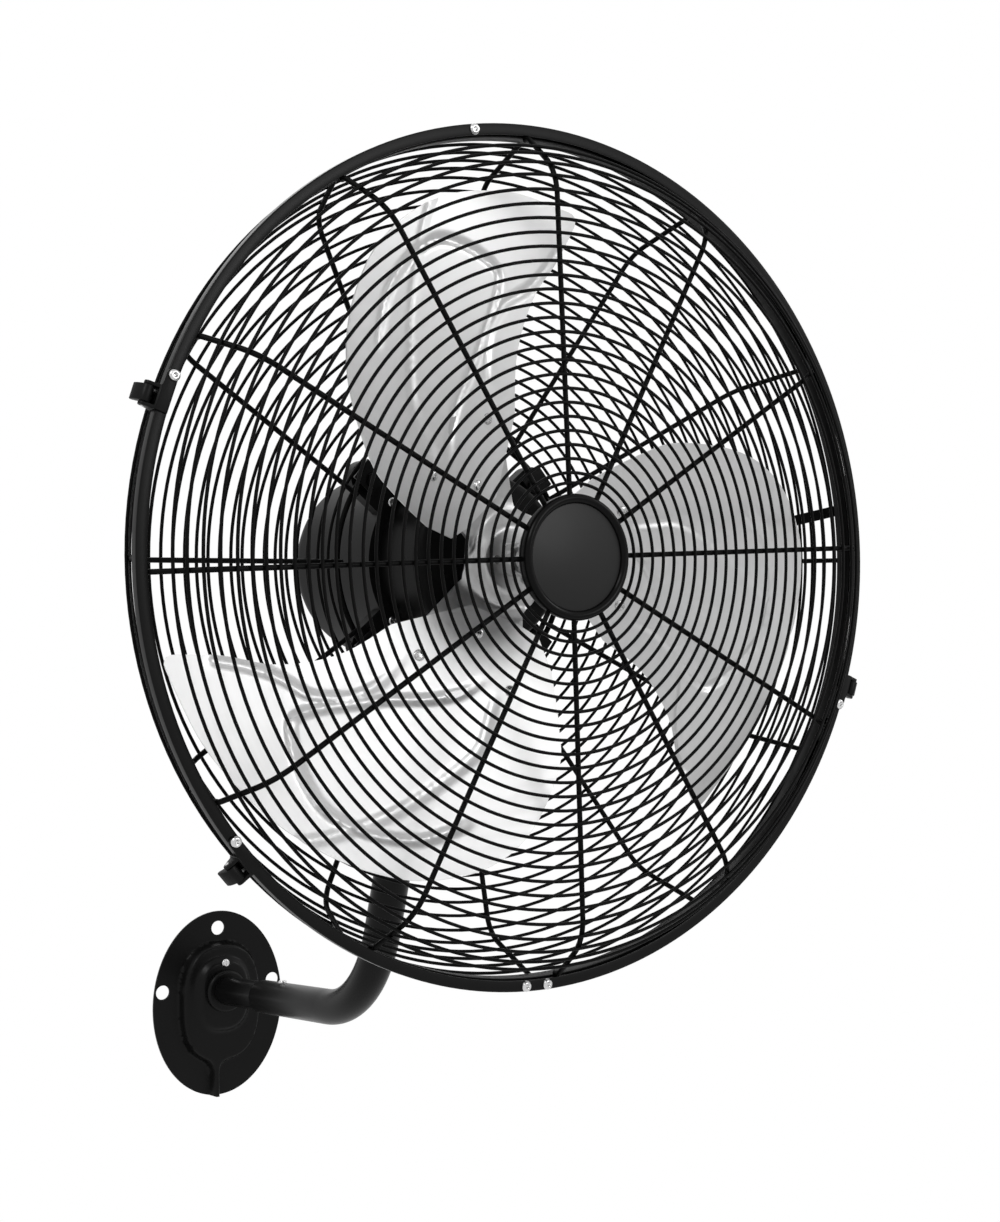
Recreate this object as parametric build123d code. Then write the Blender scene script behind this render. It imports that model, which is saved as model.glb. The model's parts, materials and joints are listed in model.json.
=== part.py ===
from build123d import *
from math import cos, degrees, radians, sin, sqrt, tan
import os

# A wall mounted fan: pressed wall plate, bent tube arm, tilt yoke, motor with three pitched
# blades, and a wire guard in two halves held by a double rim and three over-centre clips.
# Millimetres. The origin is midway between the two side screw holes, on the wall.
# +X is to the right for someone facing the fan, +Y goes into the wall, +Z is up.
# Head pieces are drawn about the fan's own axis: y = 0 is the front of the rim, y grows backwards.

# ---- where the fan hangs
WALL_TO_RIM = 624.0          # wall to the front of the rim
FAN_HEIGHT = 442.0           # fan axis above the wall plate's side holes
SLIDE_FIT = 0.05             # radial play of a pin, shaft or spigot in its hole
GAP = 0.3                    # clearance between pieces that move past each other
SCREW_CLEAR = 0.4            # a clearance hole's diameter over its screw's
CUT = 1.0                    # how far a cutting shape runs past the face it opens
DRIVER_SLOT = 1.0            # width and depth of the cross in a screw head
DRIVER_LONG = 5.0
PAN_EDGE_R = 1.5

# ---- wall plate
PLATE_WIDTH = 148.0
PLATE_TALL = 196.0
PLATE_DROP = 18.0            # plate centre below the side holes
SHEET = 2.0                  # pressed steel
SIDE_HOLE_SPACING = 126.6
TOP_HOLE_UP = 62.0
WALL_HOLE_D = 15.0
DOME_WIDTH = 97.0
DOME_TALL = 134.0
DOME_DROP = 16.0
DOME_RISE = 12.0             # lower step of the dome
CROWN_WIDTH = 72.0
CROWN_TALL = 104.0
CROWN_RISE = 8.0             # upper step of the dome
DRAFT = 4.5                  # how far each step draws in on its way up
CHANNEL_WIDTH = 14.0
CHANNEL_DEEP = 11.0
CHANNEL_EDGE_R = 4.6
CHANNEL_OFFSET = -6.0
EARTH_SCREW_UP = 27.5
EARTH_HEAD_D = 8.6
EARTH_SCREW_LONG = 5.0

# ---- arm
TUBE_D = 33.3
TUBE_WALL = 1.8
ROOT_DROP = 4.0              # tube axis below the side holes at the wall
ROOT_RISE = 6.0              # degrees that the first run climbs
RUN_Y = 334.0                # wall to the corner of the two runs
BEND_R = 126.0
SLEEVE_AT = 112.0            # where the arm tube starts over its stub
SLEEVE_LAP = 72.0            # how far the stub reaches into the arm tube
LOCK_SCREW_AT = 158.0        # wall to the screw that locks the tube on its stub
LOCK_SCREW_D = 5.0
LOCK_SCREW_LONG = 4.6
LOCK_HEAD_D = 8.5
LOCK_HEAD_T = 2.4
LOCK_HEAD_EDGE_R = 1.3
COLLAR_D = 44.0
COLLAR_T = 6.0

# ---- tilt joint
PIVOT_BACK = 188.0           # behind the rim front
PIVOT_DOWN = 112.0           # below the fan axis
PIVOT_D = 8.0
BOLT_ACROSS_FLATS = 13.0
BOLT_HEAD_T = 5.2
YOKE_REACH = 30.0            # pivot to the end of the tube
YOKE_CHEEK = 4.0
YOKE_BASE_T = 5.0
YOKE_DEEP = 28.0
YOKE_SPIGOT = 26.0
LUG_WIDTH = 28.0
LUG_D = 26.0
LUG_NECK = 22.0
LUG_FOOT_FRONT = 160.0
LUG_FOOT_BACK = 224.0
LUG_FOOT_T = 8.0
LUG_SCREW_INSET = 6.5
LUG_SCREW_D = 5.0
LUG_SINK = 2.0               # the lug is drawn this far into the motor, then cut to its curve
WASHER_T = 1.6
WASHER_D = 18.0
HAND_KNOB_D = 34.0
HAND_KNOB_LONG = 18.0
HAND_KNOB_LOBES = 5
HAND_KNOB_LOBE_D = 13.6
HAND_KNOB_CORE_D = 21.0
HAND_KNOB_NECK = 5.0         # plain end against the washer
BOLT_END_OUT = 3.0

# ---- motor
SHIELD_D = 142.0             # front end shield
SHIELD_FRONT = 75.0
HOUSING_D = 162.0            # rear housing
HOUSING_BACK = 285.0
HOUSING_EDGE_R = 20.0
SHIELD_EDGE_R = 8.0
SPLIT_Y = 150.0              # where shield and housing meet
EAR_T = 12.0
EAR_TIP_R = 122.0
EAR_WIDTH = 30.0
EAR_ANGLES = (40.0, 140.0, 220.0, 320.0)
EAR_SCREW_INSET = 4.0        # screws that join shield and housing, inside the housing's skin
EAR_SCREW_D = 5.0
EAR_SCREW_LONG = 24.0
EAR_LUG_D = 18.0             # bosses on the rear housing that take the screws
EAR_LUG_WALL = 4.0
EAR_PAD_WIDTH = 14.0         # pads inside the housing that carry the core
EAR_PAD_INSET = 5.0
CAST_WALL = 4.0
HOUSING_WALL = 3.0
SHAFT_D = 12.0
SHAFT_BODY_D = 16.0
SHAFT_FRONT = 14.0
SHAFT_TAIL = 2.0             # behind the rear bearing
BEARING_D = 32.0
BEARING_W = 10.0
RACE_T = 2.8
BALLS = 8
BALL_PLAY = 0.05
BEARING_WALL = 4.0
BEARING_INSET = 7.0          # bearing behind the outside face of its end shield
ROTOR_D = 70.0
STACK_FRONT = 160.0
STACK_LONG = 42.0
AIR_GAP = 0.4
SLOTS = 12
SLOT_INNER_R = 40.0
SLOT_WIDTH = 11.0
COIL_PLAY = 0.5              # slot liner between winding and steel
COIL_LONG = 18.0             # end turns beyond the stack
COIL_SKIRT = 2.0             # end turns inside and outside the slots
COIL_CLEAR = 2.0             # between the end turns and the shield or the core pads
CAPACITOR_SIZE = (44.0, 24.0, 24.0)
CAPACITOR_EDGE_R = 4.0
CAPACITOR_INSET = 35.0       # inside the housing's skin
CASE_PLAY = 0.1              # capacitor and switch off the housing's back wall
SWITCH_D = 30.0
SWITCH_LONG = 20.0
SWITCH_CLEAR = 7.0           # between the switch and the rear bearing seat
SPINDLE_D = 6.0
DIAL_D = 28.0
DIAL_LONG = 13.0
DIAL_EDGE_R = 2.0
POINTER_WIDTH = 6.0
POINTER_RISE = 4.0
SPINDLE_SHORT = 2.0          # spindle end and pointer ends inside the dial

# ---- blades and hub
BLADE_ANGLES = (90.0, 210.0, 330.0)
BLADE_T = 1.2
BLADE_PITCH = 16.7           # degrees
BLADE_BEND_R = 1085.0        # camber
BLADE_MID_Y = 38.0           # where the middle of the chord lies
BLADE_MID_B = 52.0
BLADE_CORNER_R = 9.0
BLADE_LEADING_R = (118.4, 168.7, 217.6, 258.4, 303.0)
BLADE_LEADING_ANGLES = (-4.5, -4.2, -8.3, -13.6, -16.4)
BLADE_OUTER_R = (303.0, 300.0, 297.0, 293.5, 287.5, 279.5, 268.0, 246.5, 216.0, 169.0, 136.0, 94.7)
BLADE_OUTER_ANGLES = (-16.4, -4.0, 4.0, 12.0, 20.0, 28.0, 36.0, 45.8, 54.8, 65.0, 69.5, 75.0)
BLADE_ROOT_R = (94.7, 66.0, 52.0, 52.0, 118.4)
BLADE_ROOT_ANGLES = (75.0, 76.0, 62.0, 14.0, -4.5)
BLADE_RIVET_R = (68.0, 106.0, 115.0)
BLADE_RIVET_ANGLES = (29.8, 52.5, 11.0)
RIVET_D = 4.8
RIVET_HEAD_D = 9.6
RIVET_HEAD_T = 2.0
RIVET_EDGE_R = 1.6
RIVET_TAIL_D = 8.0
RIVET_TAIL_T = 1.5
RIVET_LIFT = 0.1             # keeps the flat head seats clear of the curved sheet
SPIDER_T = 3.0
SPIDER_R = 42.0
SPIDER_FLAT_R = 26.0
SPIDER_FRONT = 40.0
SPIDER_DISH = 9.0
PADDLE_R = (45.0, 126.0, 128.0, 118.0, 45.0)
PADDLE_ANGLES = (-10.0, 4.0, 30.0, 58.0, 70.0)
BOSS_NOSE_D = 28.0
BOSS_FRONT = 26.0
BOSS_BACK = 70.0
BOSS_FLANGE_D = 48.0
BOSS_FLANGE_T = 5.0
BOSS_D = 30.0
GRUB_SCREW_SUNK = 1.0
HUB_RIVET_R = 19.0
HUB_RIVET_D = 4.0
HUB_RIVET_HEAD_D = 7.0
NUT_ACROSS_FLATS = 19.0
NUT_T = 8.0
GRUB_SCREW_D = 6.0

# ---- rim
RIM_D = 680.0
FLANGE_WIDTH = 8.8           # front hoop: a flat flange with a skirt at its outer edge
SKIRT_BACK = 8.0
RIM_SHEET = 1.5
REAR_HOOP_T = 3.5            # rear hoop: a flat ring
REAR_HOOP_SHY = 2.0          # its outer edge inside the skirt's outside
BAND_INSET = 8.5
BAND_FRONT = 5.5
BAND_BACK = 20.0
BAND_T = 1.5
RIM_SCREW_ANGLES = (100.7, 266.8, 270.2)
RIM_SCREW_D = 3.0
RIM_SCREW_SHORT = 1.0        # screw end inside the rear hoop
PAN_HEAD_D = 8.6
PAN_HEAD_T = 2.6
SPACER_LONG = 30.0

# ---- wire guards
RIB_D = 4.3
RING_D = 2.7
RIBS = 12
FACE_RING_PITCH = 10.83
BACK_RING_PITCH = 10.95
FRONT_RIB_TURN = 2.1         # degrees that the front ribs stand off the clock positions
REAR_RIB_TURN = 0.3
FACE_Y = -38.5               # front ribs at the cap
FACE_SHOULDER_INSET = 42.4   # where a front rib turns back, inside the rim's outside
FACE_SHOULDER_Y = -36.0
FACE_BEND_R = 40.0
RIB_FOOT_R = 5.0             # bend of a front rib at the rim
RIB_START_R = 34.0
FIRST_FACE_RING_R = 57.2
SECOND_FACE_RING_R = 65.0
BACK_SHOULDER_INSET = 32.0
BACK_SHOULDER_Y = 85.0
BACK_BEND_R = 30.0
BACK_WALL_Y = 24.0           # where the rear ribs turn along the rim
HUB_RING_R = 112.0
HUB_RING_D = 5.0
FIRST_BACK_RING = 12.0       # along a rear rib from its inner end
RIM_SEAT_R = 14.0

# ---- cap
CAP_D = 98.0
CAP_FACE_D = 83.0
CAP_BASE_T = 4.5
CAP_RIM_RISE = 3.6
CAP_RIM_SINK = 1.0
CAP_RIM_EDGE_R = 2.0
CAP_FACE_T = 0.8
CENTRE_PLATE_D = 93.0
CENTRE_PLATE_T = 1.5
CAP_BOSS_D = 10.0
CAP_SCREW_D = 4.0
CAP_SCREW_HEAD_D = 18.0

# ---- guard clamps on the motor's ears
CLAMP_START_R = 97.6
CLAMP_LONG = 21.6
CLAMP_WIDTH = 20.0
CLAMP_T = 2.0
CLAMP_SCREW_R = 104.0
CLAMP_SCREW_D = 5.0
CLAMP_HEAD_D = 14.0

# ---- rim clips
CLIP_ANGLES = (161.3, 220.5, 341.3)
CLIP_SCREW_SHIFT = 18.5      # tangential, towards the clip's clockwise side
CLIP_T = 2.0
CLIP_WIDTH = 18.0
CLIP_EAR_T = 2.6
CLIP_EAR_D = 7.0
CLIP_TAB_OUT = 1.5
CLIP_TAB_END = 1.0
CLIP_WALL_BACK = 3.0
CLIP_PIN_D = 3.0
CLIP_PIN_OUT = 9.0           # pin outside the rim
CLIP_PIN_BACK = 3.5
CLIP_PIN_END = 0.5
LEVER_BARREL_D = 9.0
LEVER_T = 3.0
LEVER_PLAY = 1.0
THUMB_TAB = ((0.0, -3.0), (8.0, 5.0), (8.0, 9.0), (5.0, 9.0), (0.0, 3.0))
HOOK_CATCH = 6.0             # how far the hook reaches in from the rim's outside
HOOK_T = 3.2

# ---- guard stay
STAY_WIDTH = 9.4
STAY_T = 1.5
STAY_ANGLE = 8.5
STAY_SLANT = 8.0             # degrees that the strip runs down on its way back
STAY_CLEAR = 0.6             # play under the strip
STAY_RIM_GAP = 2.0
STAY_END_INSET = 48.0        # its inner end, inside the rim's outside

# worked out from the sizes above
RIM_R = RIM_D / 2
FLANGE_INNER_R = RIM_R - FLANGE_WIDTH
RIM_SCREW_R = RIM_R - FLANGE_WIDTH / 2
REAR_HOOP_BACK = SKIRT_BACK + REAR_HOOP_T
REAR_HOOP_R = RIM_R - REAR_HOOP_SHY
BAND_R = RIM_R - BAND_INSET
FRONT_SEAT_R = FLANGE_INNER_R - SLIDE_FIT - RIB_D / 2
REAR_SEAT_R = BAND_R + SLIDE_FIT + RIB_D / 2
FACE_SHOULDER = (RIM_R - FACE_SHOULDER_INSET, FACE_SHOULDER_Y)
BACK_SHOULDER = (RIM_R - BACK_SHOULDER_INSET, BACK_SHOULDER_Y)
STAY_END_R = RIM_R - STAY_END_INSET
RING_STAND_OFF = (RIB_D + RING_D) / 2
EAR_FRONT = SPLIT_Y - EAR_T
HUB_RING_Y = EAR_FRONT - HUB_RING_D / 2
BACK_RIB_Y = HUB_RING_Y - (HUB_RING_D + RIB_D) / 2
BACK_RIB_START_R = HUB_RING_R - RIB_D / 2
CAP_BACK = FACE_Y - RIB_D / 2
CENTRE_PLATE_FRONT = FACE_Y + RIB_D / 2
TUBE_R = TUBE_D / 2
BORE_R = TUBE_R - TUBE_WALL
STUB_R = BORE_R - SLIDE_FIT
DOME_TOP = DOME_RISE + CROWN_RISE
PIVOT = (0, PIVOT_BACK - WALL_TO_RIM, FAN_HEIGHT - PIVOT_DOWN)
ROOT_DIR = (0, -cos(radians(ROOT_RISE)), sin(radians(ROOT_RISE)))
RUN_CORNER = (0, -RUN_Y, RUN_Y * tan(radians(ROOT_RISE)) - ROOT_DROP)
LEAN_DIR = (Vector(*PIVOT) - Vector(*RUN_CORNER)).normalized()
FRONT_BEARING_Y = SHIELD_FRONT + BEARING_INSET
REAR_BEARING_Y = HOUSING_BACK - HOUSING_WALL - BEARING_INSET - BEARING_W
HOUSING_INNER_R = HOUSING_D / 2 - HOUSING_WALL
EAR_SCREW_R = HOUSING_D / 2 - EAR_SCREW_INSET
CAPACITOR_DOWN = HOUSING_D / 2 - CAPACITOR_INSET
BACK_FLAT_R = HOUSING_INNER_R - (HOUSING_EDGE_R - HOUSING_WALL)
SWITCH_UP = min(BEARING_D / 2 + BEARING_WALL + SWITCH_CLEAR + SWITCH_D / 2, BACK_FLAT_R - SWITCH_D / 2)
COIL_ROOM_R = min(SHIELD_D / 2 - CAST_WALL, EAR_SCREW_R - EAR_PAD_INSET)
SLOT_OUTER_R = COIL_ROOM_R - COIL_CLEAR - COIL_SKIRT
BLADE_TIP_R = max(BLADE_OUTER_R)
BLADE_RIVETS = tuple(zip(BLADE_RIVET_R, BLADE_RIVET_ANGLES))
STACK_BACK = STACK_FRONT + STACK_LONG
BACK_WALL_INNER = HOUSING_BACK - HOUSING_WALL

HEAD = Pos(0, -WALL_TO_RIM, FAN_HEIGHT)


def save(node, *shapes):
    """Write one node, a single solid or a group of them."""
    group = list(shapes)
    export_step(group[0] if len(group) == 1 else Compound(children=group), f"parts/{node}.step")


def around(angle):
    """Turn about the fan axis, anticlockwise for someone facing the fan."""
    return Rot(0, -angle, 0)


def polar(radius, angle):
    return (radius * cos(radians(angle)), radius * sin(radians(angle)))


def rod(diameter, start, end):
    """A round bar along the fan axis, from y = start to y = end."""
    return Pos(0, (start + end) / 2, 0) * Rot(90, 0, 0) * Cylinder(diameter / 2, end - start)


def cross_rod(diameter, start, end):
    """A round bar along X."""
    return Pos((start + end) / 2, 0, 0) * Rot(0, 90, 0) * Cylinder(diameter / 2, end - start)


def block(low, high):
    """A box between two corners."""
    size = [b - a for a, b in zip(low, high)]
    middle = [(a + b) / 2 for a, b in zip(low, high)]
    return Pos(*middle) * Box(*size)


def turned(outline):
    """Turn an outline of (radius, y) corners about the fan axis."""
    return revolve(make_face(Polyline(*outline, close=True)), Axis.Y)


def wire(path, diameter):
    """A round wire along a path."""
    section = Plane(origin=path @ 0, z_dir=path % 0) * Circle(diameter / 2)
    return sweep(section, path=path)


def ring(radius, y, diameter):
    """A round wire hoop about the fan axis, its seam midway between two ribs."""
    return Pos(0, y, 0) * around(180 / RIBS) * Rot(90, 0, 0) * Torus(radius, diameter / 2)


def pan_screw(head_d, head_t, shank_d, shank_long):
    """A pan head screw facing -Y: the head's seat is at y = 0, the shank runs back from it."""
    head = rod(head_d, -head_t, 0)
    head = fillet(head.edges().group_by(Axis.Y)[0], PAN_EDGE_R)
    half = DRIVER_SLOT / 2
    reach = DRIVER_LONG / 2
    for wide, tall in ((reach, half), (half, reach)):
        head -= block((-wide, -head_t, -tall), (wide, DRIVER_SLOT - head_t, tall))
    return head + rod(shank_d, 0, shank_long)


# ---- wall plate and arm

def ellipse_at(width, tall, y):
    return Plane.XZ.offset(-y) * Ellipse(width / 2, tall / 2)


def step(width, tall, y_low, y_high, draft):
    """One drawn step of the dome, narrowing from y_low to y_high."""
    low = ellipse_at(width, tall, y_low)
    high = ellipse_at(width - 2 * draft, tall - 2 * draft, y_high)
    return loft([low, high])


def dome(inset):
    """The dome's two steps, inset by the sheet for its hollow side."""
    lower = step(DOME_WIDTH - 2 * inset, DOME_TALL - 2 * inset, 0, -DOME_RISE + inset, DRAFT)
    upper = step(CROWN_WIDTH - 2 * inset, CROWN_TALL - 2 * inset, -DOME_RISE + inset,
                 -DOME_TOP + inset, DRAFT)
    return Pos(0, 0, -DOME_DROP) * (lower + upper)


def root_axis(y):
    """Height of the first run's axis at a distance from the wall."""
    return -ROOT_DROP + y * tan(radians(ROOT_RISE))


def root_bar(diameter, start, end):
    """A round bar along the first run, between two distances from the wall."""
    length = (end - start) / cos(radians(ROOT_RISE))
    plane = Plane(origin=(0, -start, root_axis(start)), x_dir=(1, 0, 0), z_dir=ROOT_DIR)
    return plane * Cylinder(diameter / 2, length, align=(Align.CENTER, Align.CENTER, Align.MIN))


def channel(inset):
    """The cable channel from the dome down to the plate's lower edge."""
    low_edge = -PLATE_DROP - PLATE_TALL / 2
    top = -DOME_DROP - DOME_TALL / 2 + CHANNEL_WIDTH
    half = CHANNEL_WIDTH / 2 - inset
    body = block((CHANNEL_OFFSET - half, -CHANNEL_DEEP + inset, low_edge), (CHANNEL_OFFSET + half, 0, top))
    front_edges = body.edges().filter_by(Axis.Z).group_by(Axis.Y)[0]
    return fillet(front_edges, CHANNEL_EDGE_R - inset)


def wall_plate():
    plate = Pos(0, 0, -PLATE_DROP) * extrude(ellipse_at(PLATE_WIDTH, PLATE_TALL, 0), SHEET)
    plate += dome(0)
    plate += channel(0)
    plate -= dome(SHEET)
    plate -= channel(SHEET)
    for x, z in wall_holes():
        plate -= Pos(x, 0, z) * rod(WALL_HOLE_D, -2 * SHEET, SHEET)
    plate -= root_bar(2 * (STUB_R + SLIDE_FIT), -DOME_TOP, 2 * DOME_TOP)
    plate -= Pos(0, 0, EARTH_SCREW_UP) * rod(LOCK_SCREW_D, -2 * DOME_TOP, 0)
    return plate


def wall_holes():
    return ((-SIDE_HOLE_SPACING / 2, 0), (SIDE_HOLE_SPACING / 2, 0), (0, TOP_HOLE_UP))


def wall_stub():
    """The short tube welded through the dome, which carries the arm."""
    start = DOME_TOP - SHEET
    end = SLEEVE_AT + SLEEVE_LAP
    stub = root_bar(2 * STUB_R, start, end)
    stub -= root_bar(2 * (STUB_R - TUBE_WALL), start - SHEET, end + SHEET)
    return stub - lock_screw_hole()


def tube_collar():
    """Rolled collar that stiffens the dome around the stub."""
    z = root_axis(DOME_TOP)
    collar = Pos(0, 0, z) * rod(COLLAR_D, -DOME_TOP - COLLAR_T, -DOME_TOP)
    collar = fillet(collar.edges().group_by(Axis.Y)[0], COLLAR_T / 2)
    return collar - root_bar(2 * (STUB_R + SLIDE_FIT), 0, 3 * DOME_TOP)


def earth_screw():
    screw = pan_screw(EARTH_HEAD_D, PAN_HEAD_T, LOCK_SCREW_D - 2 * SLIDE_FIT, EARTH_SCREW_LONG)
    return Pos(0, -DOME_TOP, EARTH_SCREW_UP) * screw


def lock_screw_plane():
    """On top of the arm tube, square to its first run."""
    up = (0, sin(radians(ROOT_RISE)), cos(radians(ROOT_RISE)))
    origin = Vector(0, -LOCK_SCREW_AT, root_axis(LOCK_SCREW_AT)) + Vector(*up) * TUBE_R
    return Plane(origin=origin, x_dir=(1, 0, 0), z_dir=up)


def lock_screw_hole():
    depth = TUBE_WALL * 4
    return lock_screw_plane() * Cylinder(LOCK_SCREW_D / 2, 2 * depth)


def arm_lock_screw():
    """Button head screw that pins the arm tube to its stub."""
    head = Cylinder(LOCK_HEAD_D / 2, LOCK_HEAD_T, align=(Align.CENTER, Align.CENTER, Align.MIN))
    head = fillet(head.edges().group_by(Axis.Z)[-1], LOCK_HEAD_EDGE_R)
    shank = Cylinder(LOCK_SCREW_D / 2 - SLIDE_FIT, LOCK_SCREW_LONG,
                     align=(Align.CENTER, Align.CENTER, Align.MAX))
    return lock_screw_plane() * (head + shank)


def arm_path():
    start = (0, -SLEEVE_AT, root_axis(SLEEVE_AT))
    end = Vector(*PIVOT) - LEAN_DIR * YOKE_REACH
    return FilletPolyline(start, RUN_CORNER, end, radius=BEND_R)


def arm_tube():
    path = arm_path()
    return wire(path, TUBE_D) - wire(path, 2 * BORE_R) - lock_screw_hole()


# ---- tilt joint

def yoke_plane():
    """At the pivot, with local Z up along the arm."""
    return Plane(origin=PIVOT, x_dir=(1, 0, 0), z_dir=LEAN_DIR)


def tilt_yoke():
    inner = LUG_WIDTH / 2 + GAP
    outer = inner + YOKE_CHEEK
    half = YOKE_DEEP / 2
    base = block((-outer, -half, -YOKE_REACH), (outer, half, -YOKE_REACH + YOKE_BASE_T))
    spigot = Cylinder(STUB_R, YOKE_SPIGOT, align=(Align.CENTER, Align.CENTER, Align.MAX))
    body = base + Pos(0, 0, -YOKE_REACH) * spigot
    for side in (-1, 1):
        near, far = sorted((side * inner, side * outer))
        body += block((near, -half, -YOKE_REACH), (far, half, 0)) + cross_rod(YOKE_DEEP, near, far)
    body -= cross_rod(PIVOT_D + 2 * SLIDE_FIT, -2 * outer, 2 * outer)
    return yoke_plane() * body


def tilt_bolt():
    """Hex head bolt through the yoke and the motor's lug."""
    cheek = LUG_WIDTH / 2 + GAP + YOKE_CHEEK
    end = cheek + WASHER_T + HAND_KNOB_LONG
    hexagon = extrude(Plane.YZ * RegularPolygon(BOLT_ACROSS_FLATS / 2, 6, major_radius=False), BOLT_HEAD_T)
    bolt = Pos(-cheek - BOLT_HEAD_T, 0, 0) * hexagon + cross_rod(PIVOT_D, -cheek, end)
    return Pos(*PIVOT) * bolt


def tilt_washer():
    cheek = LUG_WIDTH / 2 + GAP + YOKE_CHEEK
    washer = cross_rod(WASHER_D, cheek, cheek + WASHER_T)
    return Pos(*PIVOT) * (washer - cross_rod(PIVOT_D + 2 * SLIDE_FIT, 0, 2 * cheek))


def tilt_hand_knob():
    """Lobed knob that pinches the yoke on the lug."""
    start = LUG_WIDTH / 2 + GAP + YOKE_CHEEK + WASHER_T
    end = start + HAND_KNOB_LONG - BOLT_END_OUT
    body = cross_rod(HAND_KNOB_CORE_D, start, end)
    for number in range(HAND_KNOB_LOBES):
        out = (HAND_KNOB_D - HAND_KNOB_LOBE_D) / 2
        lobe = Pos(0, out, 0) * cross_rod(HAND_KNOB_LOBE_D, start + HAND_KNOB_NECK, end)
        body += Rot(number * 360 / HAND_KNOB_LOBES, 0, 0) * lobe
    body -= cross_rod(PIVOT_D + 2 * SLIDE_FIT, 0, 2 * end)
    return Pos(*PIVOT) * body


def motor_lug():
    """Foot and eye under the motor, in the head's own frame."""
    eye = Pos(0, PIVOT_BACK, -PIVOT_DOWN) * cross_rod(LUG_D, -LUG_WIDTH / 2, LUG_WIDTH / 2)
    top = -HOUSING_D / 2
    neck = block((-LUG_WIDTH / 2, PIVOT_BACK - LUG_NECK / 2, -PIVOT_DOWN),
                 (LUG_WIDTH / 2, PIVOT_BACK + LUG_NECK / 2, top + LUG_SINK))
    foot = block((-LUG_WIDTH / 2, LUG_FOOT_FRONT, top - LUG_FOOT_T),
                 (LUG_WIDTH / 2, LUG_FOOT_BACK, top + LUG_SINK))
    lug = eye + neck + foot - rod(HOUSING_D, 0, HOUSING_BACK)
    lug -= Pos(0, PIVOT_BACK, -PIVOT_DOWN) * cross_rod(PIVOT_D + 2 * SLIDE_FIT, -LUG_WIDTH, LUG_WIDTH)
    for y in lug_screw_places():
        lug -= Pos(0, y, top) * Cylinder(LUG_SCREW_D / 2 + SLIDE_FIT, 4 * LUG_FOOT_T)
    return lug


def lug_screw_places():
    return (LUG_FOOT_FRONT + LUG_SCREW_INSET, LUG_FOOT_BACK - LUG_SCREW_INSET)


def lug_screw(y):
    """Screw from below through the foot into the motor housing."""
    screw = pan_screw(PAN_HEAD_D, PAN_HEAD_T, LUG_SCREW_D, LUG_FOOT_T + HOUSING_WALL)
    return Pos(0, y, -HOUSING_D / 2 - LUG_FOOT_T) * Rot(90, 0, 0) * screw


# ---- motor

def ear(inner_r, outer_r, width, front, back):
    """A flat arm with a round end, pointing along +X."""
    end = outer_r - width / 2
    arm = block((inner_r, front, -width / 2), (end, back, width / 2))
    return arm + Pos(end, 0, 0) * rod(width, front, back)


def motor_front_shield():
    outer = rod(SHIELD_D, SHIELD_FRONT, SPLIT_Y)
    outer = fillet(outer.edges().group_by(Axis.Y)[0], SHIELD_EDGE_R)
    outer += rod(HOUSING_D, EAR_FRONT, SPLIT_Y)
    for angle in EAR_ANGLES:
        outer += around(angle) * ear(SHIELD_D / 4, EAR_TIP_R, EAR_WIDTH, EAR_FRONT, SPLIT_Y)
    inner = rod(SHIELD_D - 2 * CAST_WALL, SHIELD_FRONT + CAST_WALL, SPLIT_Y + CUT)
    inner -= rod(BEARING_D + 2 * BEARING_WALL, SHIELD_FRONT, FRONT_BEARING_Y + BEARING_W)
    shield = outer - inner
    shield -= rod(BEARING_D + 2 * SLIDE_FIT, FRONT_BEARING_Y, SPLIT_Y)
    shield -= rod(SHAFT_BODY_D, 0, SPLIT_Y)
    for angle in EAR_ANGLES:
        screw_axis = around(angle) * Pos(EAR_SCREW_R, 0, 0)
        clamp_axis = around(angle) * Pos(CLAMP_SCREW_R, 0, 0)
        shield -= screw_axis * rod(EAR_SCREW_D + SCREW_CLEAR, 0, SPLIT_Y + CUT)
        shield -= screw_axis * rod(PAN_HEAD_D + 2 * GAP, 0, EAR_FRONT)
        shield -= clamp_axis * rod(CLAMP_SCREW_D + 2 * SLIDE_FIT, 0, SPLIT_Y + CUT)
    return shield


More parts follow.
